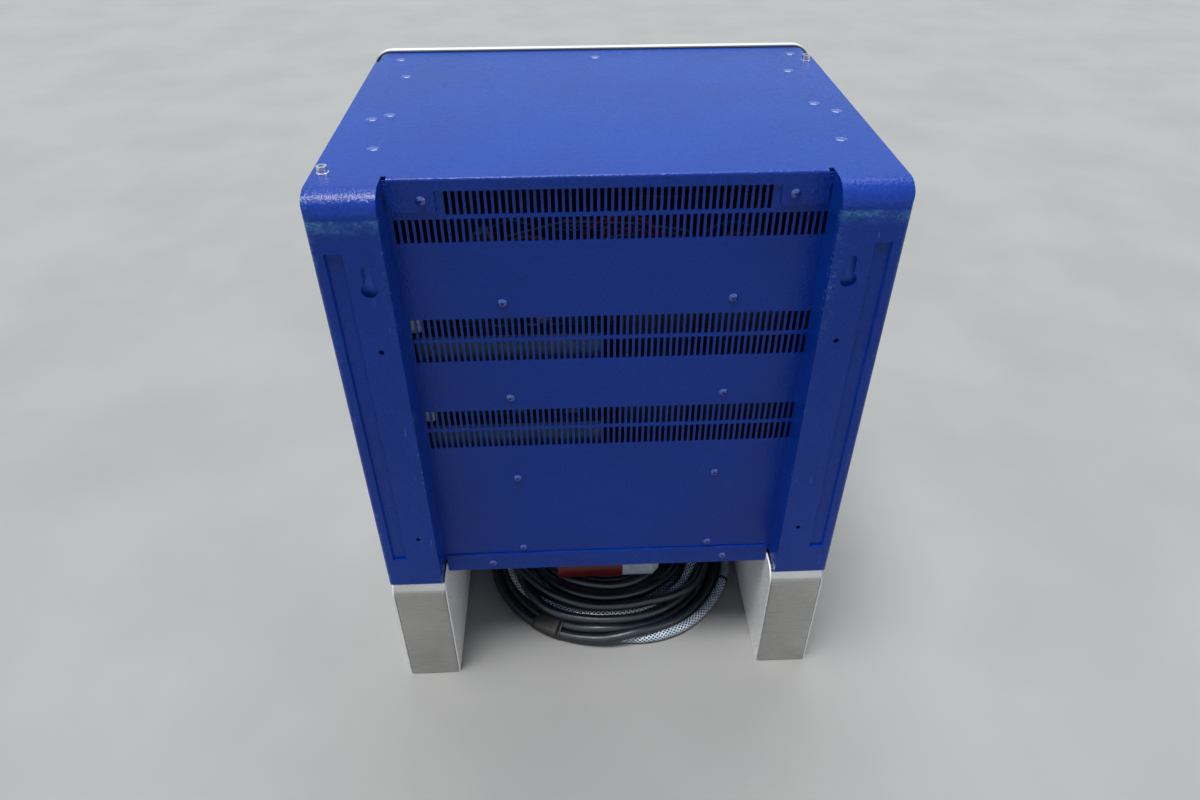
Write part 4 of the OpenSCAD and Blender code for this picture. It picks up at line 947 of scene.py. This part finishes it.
rounded_block("loom_block_right", *zip(BLOCK_X, BLOCK_Y, BLOCK_Z), BLOCK_EDGE, "loom_sleeve", "black_plastic")
for k in (1, 2):
    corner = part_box(f"module_tray_{k}")[0]
    low, high = ([c + offset for c, offset in zip(corner, offsets)] for offsets in (LATCH_LOW, LATCH_HIGH))
    rounded_block(f"module_latch_{k}", low, high, LATCH_EDGE, "light_paint", "pale_plastic_painted_light")


# Front: generic figures on the display and symbols on the keys, in millimetres
# Seen from the front, +X is at the left, so the figures and symbols are drawn mirrored

FIGURE_W, FIGURE_H, FIGURE_STROKE = 18, 30, 3.0
FIGURE_BELOW = 13
FIGURES = {16: "abdeg", -8: "fgbe"}
LEVEL_X, LEVEL_W, LEVEL_STEP, LEVELS = -52, 5, 8, 4
BAR_CUT = 1.2
KEY_X = (54, 18, -18, -54)
KEY_BELOW = 11
STOP_HALF, STOP_CUT = 4.5, 0.6
LAMP_X, LAMP_ABOVE, LAMP_R = (-36, 0, 36), 29, 2.6
FIGURE_RAISED, SYMBOL_RAISED, LAMP_SUNK, LAMP_THICK = 0.0002, 0.00015, 0.0002, 0.0006


def flat_shapes(name, outlines, y, thickness, slot, material):
    """Flat outlines in the XZ plane, raised a little from the front face towards +Y."""
    verts, faces = [], []
    for outline in outlines:
        base, n = len(verts), len(outline)
        verts += [(x * MM, y, z * MM) for x, z in outline]
        verts += [(x * MM, y + thickness, z * MM) for x, z in outline]
        faces.append(tuple(base + n + i for i in range(n))[::-1])
        for i in range(n):
            faces.append((base + n + i, base + n + (i + 1) % n, base + (i + 1) % n, base + i))
    obj = piece(name, verts, faces, slot, smooth=False)
    bm = bmesh.new()
    bm.from_mesh(obj.data)
    bmesh.ops.recalc_face_normals(bm, faces=bm.faces)
    bm.to_mesh(obj.data)
    bm.free()
    return dress(obj, material)


def bar(x0, z0, x1, z1, cut=BAR_CUT):
    """A rectangle with its corners cut off."""
    c = min(cut, (x1 - x0) / 2.2, (z1 - z0) / 2.2)
    return [(x0 + c, z0), (x1 - c, z0), (x1, z0 + c), (x1, z1 - c), (x1 - c, z1), (x0 + c, z1), (x0, z1 - c),
            (x0, z0 + c)]


def figure(x, z, segments):
    """The bars of a seven-segment figure, with its letters as they lie when seen from behind."""
    t = FIGURE_STROKE
    right, top, middle = x + FIGURE_W, z + FIGURE_H, z + FIGURE_H / 2
    places = {
        "a": (x, top - t, right, top),
        "b": (right - t, middle, right, top),
        "c": (right - t, z, right, middle),
        "d": (x, z, right, z + t),
        "e": (x, z, x + t, middle),
        "f": (x, middle, x + t, top),
        "g": (x, middle - t / 2, right, middle + t / 2),
    }
    return [bar(*places[letter]) for letter in segments]


def display_marks(window):
    foot = (window[0][2] + window[1][2]) / 2 / MM - FIGURE_BELOW
    marks = []
    for x, segments in FIGURES.items():
        marks += figure(x, foot, segments)
    for i in range(LEVELS):
        x = LEVEL_X + LEVEL_STEP * i
        marks.append(bar(x, foot, x + LEVEL_W, foot + FIGURE_H))
    flat_shapes("display_figures", marks, window[1][1], FIGURE_RAISED, "dark_window", "segment_green")


def key_marks(pad):
    z = (pad[0][2] + pad[1][2]) / 2 / MM - KEY_BELOW
    face = pad[1][1]
    up, down, stop, back = KEY_X
    symbols = [
        [(up - 5, z - 4), (up + 5, z - 4), (up, z + 5)],
        [(down - 5, z + 4), (down, z - 5), (down + 5, z + 4)],
        bar(stop - STOP_HALF, z - STOP_HALF, stop + STOP_HALF, z + STOP_HALF, STOP_CUT),
        [(back - 4, z - 5), (back + 5, z), (back - 4, z + 5)],
    ]
    flat_shapes("key_symbols", symbols, face, SYMBOL_RAISED, "keypad_foil", "key_symbol")
    circle = [(LAMP_R * math.cos(a), LAMP_R * math.sin(a)) for a in np.arange(20) * math.pi / 10]
    lamps = [[(x + dx, z + LAMP_ABOVE + dz) for dx, dz in circle] for x in LAMP_X]
    flat_shapes("key_lamps", lamps, face - LAMP_SUNK, LAMP_THICK, "keypad_foil", "lamp_green")


display_marks(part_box("display_window"))
key_marks(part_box("membrane_keypad"))


# Floor, light and backdrop

FLOOR_SIZE, FLOOR_BELOW = 40, 0.0005
SUNS = {
    "high_left": ((-0.16, -0.12, 0.98), 1.0, 22, (0.985, 0.99, 1.0)),
    "high_front": ((0.05, 0.45, 0.89), 0.46, 38, (0.84, 0.96, 1.0)),
    "low_left": ((-0.92, -0.30, 0.25), 0.10, 40, (0.96, 0.98, 1.0)),
    "low_right": ((0.92, -0.30, 0.25), 0.15, 40, (0.96, 0.98, 1.0)),
}
SKY_LIGHT, SKY_TINT = 0.12, (0.84, 0.91, 1.0)
BACKDROP_LOW, BACKDROP_HIGH, BACKDROP_REAR = (0.44, 0.62, 0.72), (0.74, 0.82, 0.92), (0.90, 0.95, 1.0)


def stage_floor():
    bm = bmesh.new()
    bmesh.ops.create_grid(bm, x_segments=2, y_segments=2, size=FLOOR_SIZE)
    me = bpy.data.meshes.new("floor")
    bm.to_mesh(me)
    bm.free()
    obj = bpy.data.objects.new("floor", me)
    obj.location.z = -FLOOR_BELOW
    scene.collection.objects.link(obj)
    s = Surface("floor_grey", (0.32, 0.315, 0.305), 0.85)
    tone = s.blend(s.spots(3, 0.3, 0.7, 3.0, 0.5), (0.305, 0.302, 0.293), (0.335, 0.331, 0.321))
    s.color(tone).bump(s.noise(320, 3.0, 0.6), 0.0006, 0.4)
    obj.data.materials.append(s.mat)


def soft_sun(name, towards, level, spread, color):
    """Even soft light from a direction; level is what it gives a white surface that faces it."""
    data = bpy.data.lights.new(name, "SUN")
    data.energy = level * math.pi
    data.angle = math.radians(spread)
    data.color = color
    obj = bpy.data.objects.new(name, data)
    obj.rotation_euler = (-Vector(towards)).to_track_quat("-Z", "Y").to_euler()
    scene.collection.objects.link(obj)


def sky():
    """A weak even light on the object, and a pale backdrop that the camera, metal and glass see: low near the
    horizon, high further up, and paler towards the rear of the cabinet."""
    world = bpy.data.worlds.new("sky")
    scene.world = world
    world.use_nodes = True
    w = NodeTree(world.node_tree)
    light = next(n for n in w.tree.nodes if n.type == "BACKGROUND")
    w.put(light.inputs["Color"], SKY_TINT)
    w.put(light.inputs["Strength"], SKY_LIGHT)
    _, y, z = w.parts(w.node("TexCoord", out="Generated"))
    backdrop = w.blend(w.fit(z, 0.20, 0.62), BACKDROP_LOW, BACKDROP_HIGH)
    backdrop = w.blend(w.fit(y, 0.05, -0.45), backdrop, BACKDROP_REAR)
    pale = w.node("Background", {"Color": backdrop, "Strength": 1.0})
    seen = w.node("LightPath", out="Is Camera Ray")
    for kind in ("Is Glossy Ray", "Is Transmission Ray"):
        seen = w.calc("MAXIMUM", seen, w.node("LightPath", out=kind))
    out = next(n for n in w.tree.nodes if n.type == "OUTPUT_WORLD")
    w.put(out.inputs["Surface"], w.node("MixShader", {0: seen, 1: light.outputs[0], 2: pale}))


stage_floor()
sky()
for name, settings in SUNS.items():
    soft_sun(name, *settings)
bpy.context.scene.view_settings.view_transform = "Standard"
